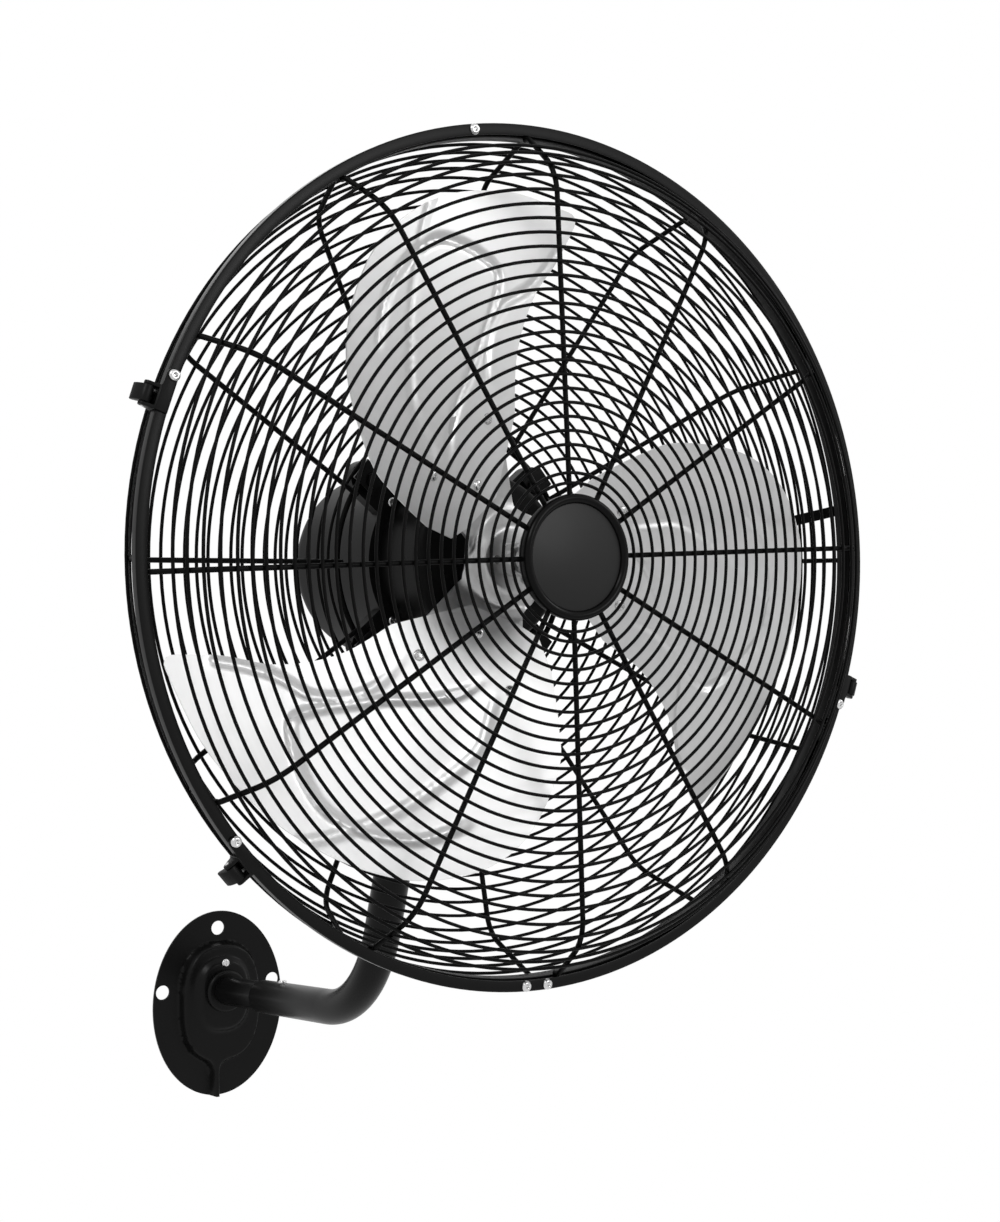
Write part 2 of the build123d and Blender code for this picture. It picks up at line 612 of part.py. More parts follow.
def motor_rear_housing():
    outer = rod(HOUSING_D, SPLIT_Y, HOUSING_BACK)
    outer = fillet(outer.edges().group_by(Axis.Y)[-1], HOUSING_EDGE_R)
    for angle in EAR_ANGLES:
        boss_back = SPLIT_Y + EAR_SCREW_LONG - EAR_T + EAR_LUG_WALL
        tip = EAR_SCREW_R + EAR_LUG_D / 2
        outer += around(angle) * ear(HOUSING_D / 4, tip, EAR_LUG_D, SPLIT_Y, boss_back)
    inner = rod(2 * HOUSING_INNER_R, SPLIT_Y - CUT, BACK_WALL_INNER)
    inner = fillet(inner.edges().group_by(Axis.Y)[-1], HOUSING_EDGE_R - HOUSING_WALL)
    inner -= rod(BEARING_D + 2 * BEARING_WALL, REAR_BEARING_Y, HOUSING_BACK)
    for angle in EAR_ANGLES:
        pad = ear(HOUSING_D / 4, EAR_SCREW_R + EAR_LUG_D / 2, EAR_PAD_WIDTH, SPLIT_Y, STACK_FRONT - GAP)
        inner -= around(angle) * (pad - rod(2 * (EAR_SCREW_R - EAR_PAD_INSET), 0, HOUSING_BACK))
    housing = outer - inner
    housing -= rod(BEARING_D + 2 * SLIDE_FIT, SPLIT_Y, REAR_BEARING_Y + BEARING_W)
    housing -= rod(SHAFT_BODY_D, SPLIT_Y, BACK_WALL_INNER)
    housing -= Pos(0, 0, SWITCH_UP) * rod(SPINDLE_D + SCREW_CLEAR, BACK_WALL_INNER - CUT, HOUSING_BACK + CUT)
    for angle in EAR_ANGLES:
        hole = Pos(EAR_SCREW_R, 0, 0) * rod(EAR_SCREW_D + 2 * SLIDE_FIT, 0, SPLIT_Y + EAR_SCREW_LONG)
        housing -= around(angle) * hole
    for y in lug_screw_places():
        housing -= Pos(0, y, -HOUSING_D / 2) * Cylinder(LUG_SCREW_D / 2 + SLIDE_FIT, 4 * HOUSING_WALL)
    return housing


def ear_screw(angle):
    screw = pan_screw(PAN_HEAD_D, PAN_HEAD_T, EAR_SCREW_D, EAR_SCREW_LONG)
    return around(angle) * Pos(EAR_SCREW_R, EAR_FRONT, 0) * screw


def stator_core():
    core = rod(2 * (HOUSING_INNER_R - SLIDE_FIT), STACK_FRONT, STACK_BACK)
    core -= rod(ROTOR_D + 2 * AIR_GAP, 0, HOUSING_BACK)
    slot = block((SLOT_INNER_R, 0, -SLOT_WIDTH / 2), (SLOT_OUTER_R, HOUSING_BACK, SLOT_WIDTH / 2))
    for number in range(SLOTS):
        core -= around(number * 360 / SLOTS) * slot
    for angle in EAR_ANGLES:
        clear = rod(EAR_SCREW_D + 2 * SCREW_CLEAR, 0, SPLIT_Y + EAR_SCREW_LONG)
        core -= around(angle) * Pos(EAR_SCREW_R, 0, 0) * clear
    return core


def stator_windings():
    """Both end-turn bundles and the bars that join them through the slots."""
    inner = SLOT_INNER_R - COIL_SKIRT
    outer = SLOT_OUTER_R + COIL_SKIRT
    coil = rod(2 * outer, STACK_FRONT - COIL_LONG, STACK_FRONT - COIL_PLAY)
    coil += rod(2 * outer, STACK_BACK + COIL_PLAY, STACK_BACK + COIL_LONG)
    coil -= rod(2 * inner, 0, HOUSING_BACK)
    half = SLOT_WIDTH / 2 - COIL_PLAY
    bar = block((SLOT_INNER_R + COIL_PLAY, STACK_FRONT - COIL_LONG, -half),
                (SLOT_OUTER_R - COIL_PLAY, STACK_BACK + COIL_LONG, half))
    for number in range(SLOTS):
        coil += around(number * 360 / SLOTS) * bar
    return coil


def rotor_core():
    core = rod(ROTOR_D, STACK_FRONT, STACK_BACK)
    return core - rod(SHAFT_BODY_D + 2 * SLIDE_FIT, 0, HOUSING_BACK)


def motor_shaft():
    shaft = rod(SHAFT_D, SHAFT_FRONT, REAR_BEARING_Y + BEARING_W + SHAFT_TAIL)
    return shaft + rod(SHAFT_BODY_D, FRONT_BEARING_Y + BEARING_W, REAR_BEARING_Y)


def race(inner_d, outer_d, y):
    return rod(outer_d, y, y + BEARING_W) - rod(inner_d, 0, HOUSING_BACK)


def bearing_places():
    return (FRONT_BEARING_Y, REAR_BEARING_Y)


def groove(y):
    """The track that the balls run in, cut in both races."""
    inner_r = SHAFT_D / 2 + RACE_T
    outer_r = BEARING_D / 2 - RACE_T
    middle = (inner_r + outer_r) / 2
    track = (outer_r - inner_r) / 2 + RACE_T / 3
    return middle, track, Pos(0, y + BEARING_W / 2, 0) * Rot(90, 0, 0) * Torus(middle, track)


def outer_race(y):
    return race(BEARING_D - 2 * RACE_T, BEARING_D, y) - groove(y)[2]


def inner_race(y):
    return race(SHAFT_D + 2 * SLIDE_FIT, SHAFT_D + 2 * RACE_T, y) - groove(y)[2]


def balls(y):
    middle, track, _ = groove(y)
    ball = Pos(middle, y + BEARING_W / 2, 0) * Sphere(track - BALL_PLAY)
    return [around(number * 360 / BALLS) * ball for number in range(BALLS)]


def run_capacitor():
    wide, deep, tall = CAPACITOR_SIZE
    back = BACK_WALL_INNER - CASE_PLAY
    can = block((-wide / 2, back - deep, -tall / 2), (wide / 2, back, tall / 2))
    return Pos(0, 0, -CAPACITOR_DOWN) * fillet(can.edges().filter_by(Axis.X), CAPACITOR_EDGE_R)


def speed_switch():
    back = BACK_WALL_INNER - CASE_PLAY
    body = rod(SWITCH_D, back - SWITCH_LONG, back)
    body -= rod(SPINDLE_D + 2 * SLIDE_FIT, back - SWITCH_LONG / 2, HOUSING_BACK)
    return Pos(0, 0, SWITCH_UP) * body


def switch_spindle():
    start = BACK_WALL_INNER - SWITCH_LONG / 2
    return Pos(0, 0, SWITCH_UP) * rod(SPINDLE_D, start, HOUSING_BACK + DIAL_LONG - SPINDLE_SHORT)


def speed_knob():
    """Round knob with a raised pointer bar across its face."""
    start = HOUSING_BACK + GAP
    end = start + DIAL_LONG
    knob = rod(DIAL_D, start, end - POINTER_RISE)
    knob = fillet(knob.edges().group_by(Axis.Y)[-1], DIAL_EDGE_R)
    reach = DIAL_D / 2 - SPINDLE_SHORT
    knob += block((-POINTER_WIDTH / 2, start, -reach), (POINTER_WIDTH / 2, end, reach))
    knob -= rod(SPINDLE_D + 2 * SLIDE_FIT, 0, end - SPINDLE_SHORT)
    return Pos(0, 0, SWITCH_UP) * knob


# ---- blades and hub. A blade is drawn along +X, with +Z on its anticlockwise side

def camber_centre():
    """Axis of the cylinder that a blade is a strip of, as (y, z)."""
    pitch = radians(BLADE_PITCH)
    return (BLADE_MID_Y - BLADE_BEND_R * cos(pitch), BLADE_MID_B - BLADE_BEND_R * sin(pitch))


def curved_sheet(inset, thickness):
    """A strip of bent sheet, its front face inset behind the blade's front face."""
    y, z = camber_centre()
    near = BLADE_BEND_R + inset
    long = 3 * BLADE_TIP_R
    tube = Pos(0, y, z) * Rot(0, 90, 0)
    return tube * (Cylinder(near + thickness, long) - Cylinder(near, long))


def sheet_plane(radius, angle):
    """On the sheet, local Z pointing square out of its front face."""
    along, across = polar(radius, angle)
    y, z = camber_centre()
    depth = sqrt(BLADE_BEND_R ** 2 - (across - z) ** 2)
    return Plane(origin=(along, y + depth, across), x_dir=(1, 0, 0), z_dir=(0, -depth, z - across))


def corners(radii, angles):
    return [polar(radius, angle) for radius, angle in zip(radii, angles)]


def blade_outline():
    """Seen from the front: leading edge, tip and trailing edge, root."""
    edge = Spline(*corners(BLADE_LEADING_R, BLADE_LEADING_ANGLES))
    edge += Spline(*corners(BLADE_OUTER_R, BLADE_OUTER_ANGLES))
    face = make_face(edge + Polyline(*corners(BLADE_ROOT_R, BLADE_ROOT_ANGLES)))
    tip = polar(BLADE_OUTER_R[0], BLADE_OUTER_ANGLES[0])
    return fillet(face.vertices().sort_by_distance((*tip, 0))[0], BLADE_CORNER_R)


def front_prism(outline):
    """An outline drawn as seen from the front, run through the whole depth of the fan."""
    return extrude(Plane.XZ * outline, HOUSING_BACK, both=True)


def blade(angle):
    skin = curved_sheet(0, BLADE_T) & front_prism(blade_outline())
    for place in BLADE_RIVETS:
        skin -= sheet_plane(*place) * Cylinder(RIVET_D / 2 + SLIDE_FIT, 10 * BLADE_T)
    return around(angle) * skin


def spider_arm():
    """One paddle behind a blade's root, bent to the blade's own curve."""
    outline = Polyline((0, 0), *corners(PADDLE_R, PADDLE_ANGLES), close=True)
    inset = BLADE_T + SLIDE_FIT
    arm = curved_sheet(inset, SPIDER_T) & front_prism(make_face(outline))
    arm -= rod(2 * SPIDER_FLAT_R, 0, HOUSING_BACK)
    for place in BLADE_RIVETS:
        arm -= sheet_plane(*place) * Cylinder(RIVET_D / 2 + SLIDE_FIT, 10 * SPIDER_T)
    return arm


def blade_spider():
    """Pressed hub plate: a dished centre and three paddles."""
    back = SPIDER_FRONT + SPIDER_T
    hole = BOSS_NOSE_D / 2 + SLIDE_FIT
    spider = turned([(hole, SPIDER_FRONT), (SPIDER_FLAT_R, SPIDER_FRONT),
                     (SPIDER_R, SPIDER_FRONT + SPIDER_DISH), (SPIDER_R, back + SPIDER_DISH),
                     (SPIDER_FLAT_R, back), (hole, back)])
    for angle in BLADE_ANGLES:
        spider += around(angle) * spider_arm()
    for angle in hub_rivet_angles():
        spider -= around(angle) * Pos(HUB_RIVET_R, 0, 0) * rod(HUB_RIVET_D + 2 * SLIDE_FIT, 0, back + CUT)
    return spider


def hub_rivet_angles():
    return [angle + 90 for angle in BLADE_ANGLES]


def hub_boss():
    """Turned boss on the shaft: a nose through the spider, a flange behind it and a barrel."""
    flange_front = SPIDER_FRONT + SPIDER_T
    flange_back = flange_front + BOSS_FLANGE_T
    boss = rod(BOSS_NOSE_D, BOSS_FRONT, flange_front)
    boss += rod(BOSS_FLANGE_D, flange_front, flange_back)
    boss += rod(BOSS_D, flange_front, BOSS_BACK)
    boss -= rod(SHAFT_D + 2 * SLIDE_FIT, 0, HOUSING_BACK)
    for angle in hub_rivet_angles():
        boss -= around(angle) * Pos(HUB_RIVET_R, 0, 0) * rod(HUB_RIVET_D + 2 * SLIDE_FIT, 0, HOUSING_BACK)
    return boss - grub_screw_bar(GRUB_SCREW_D + 2 * SLIDE_FIT, 0, BOSS_D)


def grub_screw_bar(diameter, start, end):
    """A bar across the boss barrel."""
    middle = (SPIDER_FRONT + SPIDER_T + BOSS_FLANGE_T + BOSS_BACK) / 2
    return Pos(0, middle, 0) * cross_rod(diameter, start, end)


def hub_grub_screw():
    """From the shaft out to just under the barrel's skin."""
    return grub_screw_bar(GRUB_SCREW_D, SHAFT_D / 2 + SLIDE_FIT, BOSS_D / 2 - GRUB_SCREW_SUNK)


def hub_rivets():
    front = SPIDER_FRONT
    back = front + SPIDER_T + BOSS_FLANGE_T
    rivet = rod(HUB_RIVET_D, front, back) + rod(HUB_RIVET_HEAD_D, front - RIVET_HEAD_T, front)
    rivet += rod(HUB_RIVET_HEAD_D, back, back + RIVET_HEAD_T)
    return [around(angle) * Pos(HUB_RIVET_R, 0, 0) * rivet for angle in hub_rivet_angles()]


def blade_rivet(place):
    """Domed rivet square to the blade, through blade and paddle."""
    reach = BLADE_T + SLIDE_FIT + SPIDER_T + 2 * RIVET_LIFT
    head = Cylinder(RIVET_HEAD_D / 2, RIVET_HEAD_T, align=(Align.CENTER, Align.CENTER, Align.MIN))
    head = fillet(head.edges().group_by(Axis.Z)[-1], RIVET_EDGE_R)
    shank = Cylinder(RIVET_D / 2, reach, align=(Align.CENTER, Align.CENTER, Align.MAX))
    tail = Cylinder(RIVET_TAIL_D / 2, RIVET_TAIL_T, align=(Align.CENTER, Align.CENTER, Align.MAX))
    rivet = head + shank + Pos(0, 0, -reach) * tail
    return sheet_plane(*place) * Pos(0, 0, RIVET_LIFT) * rivet


def shaft_nut():
    hexagon = extrude(Plane.XZ * RegularPolygon(NUT_ACROSS_FLATS / 2, 6, major_radius=False), NUT_T)
    return Pos(0, BOSS_FRONT, 0) * (hexagon - rod(SHAFT_D + 2 * SLIDE_FIT, -2 * NUT_T, NUT_T))


# ---- rim

def rim_screw_hole(angle):
    hole = rod(RIM_SCREW_D + 2 * SLIDE_FIT, -CUT, REAR_HOOP_BACK + CUT)
    return around(angle) * Pos(RIM_SCREW_R, 0, 0) * hole


def front_hoop():
    """Pressed hoop of angle section: flange in front, skirt round the outside."""
    hoop = turned([(FLANGE_INNER_R, 0), (RIM_R, 0), (RIM_R, SKIRT_BACK), (RIM_R - RIM_SHEET, SKIRT_BACK),
                   (RIM_R - RIM_SHEET, RIM_SHEET), (FLANGE_INNER_R, RIM_SHEET)])
    for angle in rim_screw_angles():
        hoop -= rim_screw_hole(angle)
    return hoop


def rear_hoop():
    """Flat hoop round the band."""
    hoop = rod(2 * REAR_HOOP_R, SKIRT_BACK, REAR_HOOP_BACK)
    hoop -= rod(2 * (BAND_R + SLIDE_FIT), 0, 2 * REAR_HOOP_BACK)
    for angle in rim_screw_angles():
        hoop -= rim_screw_hole(angle)
    return hoop


def clip_screw_angle(clip_angle):
    return clip_angle - degrees(CLIP_SCREW_SHIFT / RIM_SCREW_R)


def rim_screw_angles():
    return list(RIM_SCREW_ANGLES) + [clip_screw_angle(angle) for angle in CLIP_ANGLES]


def rim_screw(angle, seat):
    screw = pan_screw(PAN_HEAD_D, PAN_HEAD_T, RIM_SCREW_D, REAR_HOOP_BACK - RIM_SCREW_SHORT - seat)
    return around(angle) * Pos(RIM_SCREW_R, seat, 0) * screw


def hoop_arc(middle, long, screws):
    """Arc of bar between flange and rear hoop, centred on an angle, drilled at the screws' angles."""
    half = degrees(long / 2 / RIM_R)
    reach = 2 * RIM_R
    wedge = make_face(Polyline((0, 0), polar(reach, middle - half), polar(reach, middle + half), close=True))
    arc = rod(2 * REAR_HOOP_R, RIM_SHEET, SKIRT_BACK) - rod(2 * (BAND_R + SLIDE_FIT), 0, SKIRT_BACK + CUT)
    arc &= front_prism(wedge)
    for angle in screws:
        arc -= rim_screw_hole(angle)
    return arc


def rim_spacers():
    """A short spacer at the top screw and at each clip's screw."""
    angles = [RIM_SCREW_ANGLES[0]] + [clip_screw_angle(angle) for angle in CLIP_ANGLES]
    return [hoop_arc(angle, SPACER_LONG, [angle]) for angle in angles]


def joint_spacer():
    """The longer spacer at the bottom, where the hoops' ends meet, with both its screws."""
    screws = RIM_SCREW_ANGLES[1:]
    return hoop_arc(sum(screws) / 2, 2 * SPACER_LONG, screws)


def rim_band():
    """Flat band inside the rear hoop, which carries the rear ribs."""
    return rod(2 * BAND_R, BAND_FRONT, BAND_BACK) - rod(2 * (BAND_R - BAND_T), 0, 2 * BAND_BACK)


# ---- wire guards. A rib is drawn in the XY plane, X outwards from the fan axis

def face_path():
    """A front rib: flat on the centre plate, out across the face, round the shoulder, along the rim."""
    return FilletPolyline((RIB_START_R, FACE_Y), (CAP_D / 2, FACE_Y), FACE_SHOULDER, (FRONT_SEAT_R, 0),
                          (FRONT_SEAT_R, BAND_FRONT), radius=[FACE_BEND_R, FACE_BEND_R, RIB_FOOT_R])


def back_path():
    """A rear rib: from the hub ring out across the back, round the shoulder, along the rim."""
    return FilletPolyline((BACK_RIB_START_R, BACK_RIB_Y), BACK_SHOULDER, (REAR_SEAT_R, BACK_WALL_Y),
                          (REAR_SEAT_R, REAR_HOOP_BACK), radius=[BACK_BEND_R, RIM_SEAT_R])


def ribs(path, turn):
    rib = wire(path, RIB_D)
    return [around(number * 360 / RIBS + turn) * rib for number in range(RIBS)]


def ring_at(path, distance, side):
    """A ring lying on the outside of the ribs, at a distance along a rib."""
    place = path.position_at(distance, position_mode=PositionMode.LENGTH)
    along = path.tangent_at(distance, position_mode=PositionMode.LENGTH)
    radius = place.X - side * along.Y * RING_STAND_OFF
    y = place.Y + side * along.X * RING_STAND_OFF
    return radius, y


def front_ring_places():
    path = face_path()
    seat = path.length - BAND_FRONT - FACE_RING_PITCH
    distances = [FIRST_FACE_RING_R - RIB_START_R]
    distance = SECOND_FACE_RING_R - RIB_START_R
    while distance < seat:
        distances.append(distance)
        distance += FACE_RING_PITCH
    return [ring_at(path, distance, -1) for distance in distances]


def back_ring_places():
    path = back_path()
    seat = path.length - (BACK_WALL_Y - REAR_HOOP_BACK)
    distances = []
    distance = FIRST_BACK_RING
    while distance < seat:
        distances.append(distance)
        distance += BACK_RING_PITCH
    return [ring_at(path, distance, 1) for distance in distances]


def rings(places):
    return [ring(radius, y, RING_D) for radius, y in places]


def split_places(places, shoulder_r):
    """Rings of the flat face, and rings of the side wall from the shoulder outwards."""
    limit = shoulder_r - FACE_BEND_R / 2
    return [p for p in places if p[0] < limit], [p for p in places if p[0] >= limit]


def hub_ring():
    return ring(HUB_RING_R, HUB_RING_Y, HUB_RING_D)


def guard_clamp(angle):
    """Plate that pinches the hub ring on an ear, with a heel against the ear inside the ring."""
    front = HUB_RING_Y - HUB_RING_D / 2 - CLAMP_T
    half = CLAMP_WIDTH / 2
    plate = block((CLAMP_START_R, front, -half), (CLAMP_START_R + CLAMP_LONG, front + CLAMP_T, half))
    heel = block((CLAMP_START_R, front, -half), (CLAMP_START_R + CLAMP_T, EAR_FRONT, half))
    hole = Pos(CLAMP_SCREW_R, 0, 0) * rod(CLAMP_SCREW_D + SCREW_CLEAR, 0, EAR_FRONT)
    return around(angle) * (plate + heel - hole)


def clamp_screw(angle):
    seat = HUB_RING_Y - HUB_RING_D / 2 - CLAMP_T
    head = extrude(Plane.XZ * RegularPolygon(CLAMP_HEAD_D / 2, 6), PAN_HEAD_T)
    screw = head + rod(CLAMP_SCREW_D, 0, SPLIT_Y - seat)
    return around(angle) * Pos(CLAMP_SCREW_R, seat, 0) * screw


def centre_plate():
    plate = rod(CENTRE_PLATE_D, CENTRE_PLATE_FRONT, CENTRE_PLATE_FRONT + CENTRE_PLATE_T)
    return plate - rod(CAP_BOSS_D + 2 * GAP, CAP_BACK, 0)


def front_cap():
    """Plain plastic cap: flat base, raised round rim, screw boss behind."""
    outer = CAP_D / 2
    inner = CAP_FACE_D / 2
    front = CAP_BACK - CAP_BASE_T
    lip = RectangleRounded(outer - inner, CAP_RIM_RISE + CAP_RIM_SINK, CAP_RIM_EDGE_R)
    lip = Pos((inner + outer) / 2, front + (CAP_RIM_SINK - CAP_RIM_RISE) / 2) * lip
    cap = rod(CAP_D - CAP_RIM_SINK, front, CAP_BACK) + revolve(lip, Axis.Y)
    cap += rod(CAP_BOSS_D, CAP_BACK, CENTRE_PLATE_FRONT + CENTRE_PLATE_T - GAP)
    return cap - rod(CAP_SCREW_D + 2 * SLIDE_FIT, CAP_BACK, 0)


def cap_face():
    """Thin blank disc let into the cap."""
    front = CAP_BACK - CAP_BASE_T
    return rod(CAP_FACE_D - 2 * GAP, front - CAP_FACE_T, front)


def cap_screw():
    seat = CENTRE_PLATE_FRONT + CENTRE_PLATE_T
    screw = pan_screw(CAP_SCREW_HEAD_D, PAN_HEAD_T, CAP_SCREW_D, CENTRE_PLATE_T + RIB_D)
    return Pos(0, seat, 0) * Rot(180, 0, 0) * screw


# ---- rim clips, drawn at +X: X outwards, Z along the rim

def clip_pin_r():
    return RIM_R + CLIP_PIN_OUT


def clip_base(angle):
    """Bracket screwed on the front hoop, with two ears for the lever's pin."""
    half = CLIP_WIDTH / 2
    tab_end = CLIP_SCREW_SHIFT + PAN_HEAD_D / 2 + CLIP_TAB_END
    tab = block((FLANGE_INNER_R + GAP, -CLIP_T, -tab_end), (RIM_R + CLIP_TAB_OUT, 0, half))
    wall = block((RIM_R + GAP, -CLIP_T, -half), (RIM_R + GAP + CLIP_T, SKIRT_BACK + CLIP_WALL_BACK, half))
    base = tab + wall
    pin_axis = Pos(clip_pin_r(), CLIP_PIN_BACK, 0)
    reach = CLIP_EAR_D / 2
    for side in (-1, 1):
        near, far = sorted((side * (half - CLIP_EAR_T), side * half))
        base += block((RIM_R + CLIP_T, CLIP_PIN_BACK - reach, near),
                      (clip_pin_r(), CLIP_PIN_BACK + reach, far))
        base += pin_axis * tangent_rod(CLIP_EAR_D, near, far)
    base -= pin_axis * tangent_rod(CLIP_PIN_D + 2 * SLIDE_FIT, -CLIP_WIDTH, CLIP_WIDTH)
    hole = Pos(RIM_SCREW_R, 0, 0) * rod(RIM_SCREW_D + 2 * SLIDE_FIT, -2 * CLIP_T, CLIP_T)
    return around(angle) * base - around(clip_screw_angle(angle)) * hole


def tangent_rod(diameter, start, end):
    """A round bar along Z."""
    return Pos(0, 0, (start + end) / 2) * Cylinder(diameter / 2, end - start)


def clip_pin(angle):
    half = CLIP_WIDTH / 2 + CLIP_PIN_END
    return around(angle) * Pos(clip_pin_r(), CLIP_PIN_BACK, 0) * tangent_rod(CLIP_PIN_D, -half, half)


def clip_lever(angle):
    """Over-centre lever: barrel on the pin, arm back past the rear hoop, hook in, thumb tab out."""
    half = CLIP_WIDTH / 2 - CLIP_EAR_T - GAP
    arm_in = RIM_R + GAP + CLIP_T + LEVER_PLAY
    hook_front = REAR_HOOP_BACK + GAP
    hook_back = hook_front + HOOK_T
    pin_axis = Pos(clip_pin_r(), CLIP_PIN_BACK, 0)
    arm = block((arm_in, CLIP_PIN_BACK, -half), (arm_in + LEVER_T, hook_back, half))
    hook = block((RIM_R - HOOK_CATCH, hook_front, -half), (arm_in + LEVER_T, hook_back, half))
    tab = extrude(make_face(Polyline(*THUMB_TAB, close=True)), half, both=True)
    lever = arm + hook + pin_axis * (tangent_rod(LEVER_BARREL_D, -half, half) + tab)
    lever -= pin_axis * tangent_rod(CLIP_PIN_D + 2 * SLIDE_FIT, -CLIP_WIDTH, CLIP_WIDTH)
    return around(angle) * lever


# ---- guard stay

def outside(before, corner, after, distance):
    """A corner of a path in the XY plane, moved outwards by a distance from both its runs."""
    arriving = (Vector(*corner) - Vector(*before)).normalized()
    leaving = (Vector(*after) - Vector(*corner)).normalized()
    turn = Vector(-arriving.Y - leaving.Y, arriving.X + leaving.X)
    shift = turn * (distance / (1 + arriving.dot(leaving)))
    return (corner[0] + shift.X, corner[1] + shift.Y)


def guard_stay():
    """Flat strip outside the rear guard, from the rim over the shoulder to the back rings."""
    off = RING_STAND_OFF + RING_D / 2 + STAY_T / 2 + STAY_CLEAR
    seat = (REAR_SEAT_R, REAR_HOOP_BACK)
    wall = (REAR_SEAT_R, BACK_WALL_Y)
    inner = (BACK_RIB_START_R, BACK_RIB_Y)
    slope = (inner[1] - BACK_SHOULDER[1]) / (inner[0] - BACK_SHOULDER[0])
    end = (STAY_END_R, BACK_SHOULDER[1] + slope * (STAY_END_R - BACK_SHOULDER[0]))
    places = [(end[0] - slope * off, end[1] + off), outside(inner, BACK_SHOULDER, wall, off),
              outside(BACK_SHOULDER, wall, seat, off), (REAR_SEAT_R + off, REAR_HOOP_BACK + STAY_RIM_GAP)]
    stretch = 1 / cos(radians(STAY_SLANT))
    places = [(x, y * stretch) for x, y in places]
    path = FilletPolyline(*places, radius=[BACK_BEND_R + off, RIM_SEAT_R + off])
    section = Plane(origin=path @ 0, x_dir=(0, 0, 1), z_dir=path % 0) * Rectangle(STAY_WIDTH, STAY_T)
    strip = sweep(section, path=path)
    return around(STAY_ANGLE) * Rot(-STAY_SLANT, 0, 0) * strip


def build_arm():
    save("wall_plate", wall_plate())
    save("wall_stub", wall_stub())
    save("tube_collar", tube_collar())
    save("earth_screw", earth_screw())
    save("arm_tube", arm_tube())
    save("arm_lock_screw", arm_lock_screw())
    save("tilt_yoke", tilt_yoke())
    save("tilt_bolt", tilt_bolt())
    save("tilt_washer", tilt_washer())
    save("tilt_hand_knob", tilt_hand_knob())


def build_motor():
    save("motor_lug", HEAD * motor_lug())
    save("lug_screws", *[HEAD * lug_screw(y) for y in lug_screw_places()])
    save("motor_front_shield", HEAD * motor_front_shield())
    save("motor_rear_housing", HEAD * motor_rear_housing())
    save("motor_screws", *[HEAD * ear_screw(angle) for angle in EAR_ANGLES])
    save("stator_core", HEAD * stator_core())
    save("stator_windings", HEAD * stator_windings())
    save("rotor_core", HEAD * rotor_core())
    save("motor_shaft", HEAD * motor_shaft())
    save("bearing_outer_races", *[HEAD * outer_race(y) for y in bearing_places()])
    save("bearing_inner_races", *[HEAD * inner_race(y) for y in bearing_places()])
    save("bearing_balls", *[HEAD * ball for y in bearing_places() for ball in balls(y)])
    save("run_capacitor", HEAD * run_capacitor())
    save("speed_switch", HEAD * speed_switch())
    save("switch_spindle", HEAD * switch_spindle())
    save("speed_knob", HEAD * speed_knob())


def build_rotor():
    for number, angle in enumerate(BLADE_ANGLES, start=1):
        save(f"blade_{number}", HEAD * blade(angle))
    save("blade_spider", HEAD * blade_spider())
    save("hub_boss", HEAD * hub_boss())
    save("hub_rivets", *[HEAD * rivet for rivet in hub_rivets()])
    save("blade_rivets", *[HEAD * around(angle) * blade_rivet(place)
                           for angle in BLADE_ANGLES for place in BLADE_RIVETS])
    save("shaft_nut", HEAD * shaft_nut())
    save("hub_grub_screw", HEAD * hub_grub_screw())


def build_guards():
    face, side = split_places(front_ring_places(), FACE_SHOULDER[0])
    back, wall = split_places(back_ring_places(), BACK_SHOULDER[0])
    save("front_guard_face_rings", *[HEAD * item for item in rings(face)])
    save("front_guard_side_rings", *[HEAD * item for item in rings(side)])
    save("front_guard_ribs", *[HEAD * rib for rib in ribs(face_path(), FRONT_RIB_TURN)])
    save("front_guard_centre_plate", HEAD * centre_plate())
    save("front_cap", HEAD * front_cap())
    save("cap_face", HEAD * cap_face())
    save("cap_screw", HEAD * cap_screw())
    save("rear_guard_back_rings", *[HEAD * item for item in rings(back)])
    save("rear_guard_wall_rings", *[HEAD * item for item in rings(wall)])
    save("rear_guard_ribs", *[HEAD * rib for rib in ribs(back_path(), REAR_RIB_TURN)])
    save("rear_guard_hub_ring", HEAD * hub_ring())
    save("rear_guard_clamps", *[HEAD * guard_clamp(angle) for angle in EAR_ANGLES])
    save("rear_guard_clamp_screws", *[HEAD * clamp_screw(angle) for angle in EAR_ANGLES])
    save("rear_guard_stay", HEAD * guard_stay())


def build_rim():
    save("front_rim_hoop", HEAD * front_hoop())
    save("rear_rim_hoop", HEAD * rear_hoop())
    save("rim_band", HEAD * rim_band())
    save("rim_spacers", *[HEAD * spacer for spacer in rim_spacers()])
    save("rim_joint_spacer", HEAD * joint_spacer())
    screws = [rim_screw(angle, 0) for angle in RIM_SCREW_ANGLES]
    screws += [rim_screw(clip_screw_angle(angle), -CLIP_T) for angle in CLIP_ANGLES]
    save("rim_screws", *[HEAD * screw for screw in screws])
    save("clip_bases", *[HEAD * clip_base(angle) for angle in CLIP_ANGLES])
    save("clip_pins", *[HEAD * clip_pin(angle) for angle in CLIP_ANGLES])
    for number, angle in enumerate(CLIP_ANGLES, start=1):
        save(f"clip_lever_{number}", HEAD * clip_lever(angle))


os.makedirs("parts", exist_ok=True)
build_arm()
build_motor()
build_rotor()
build_guards()
build_rim()
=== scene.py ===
import json
from math import atan2, cos, degrees, hypot, radians, sin, sqrt, tan

import bmesh
import bpy
from mathutils import Matrix, Vector
from mathutils.geometry import delaunay_2d_cdt


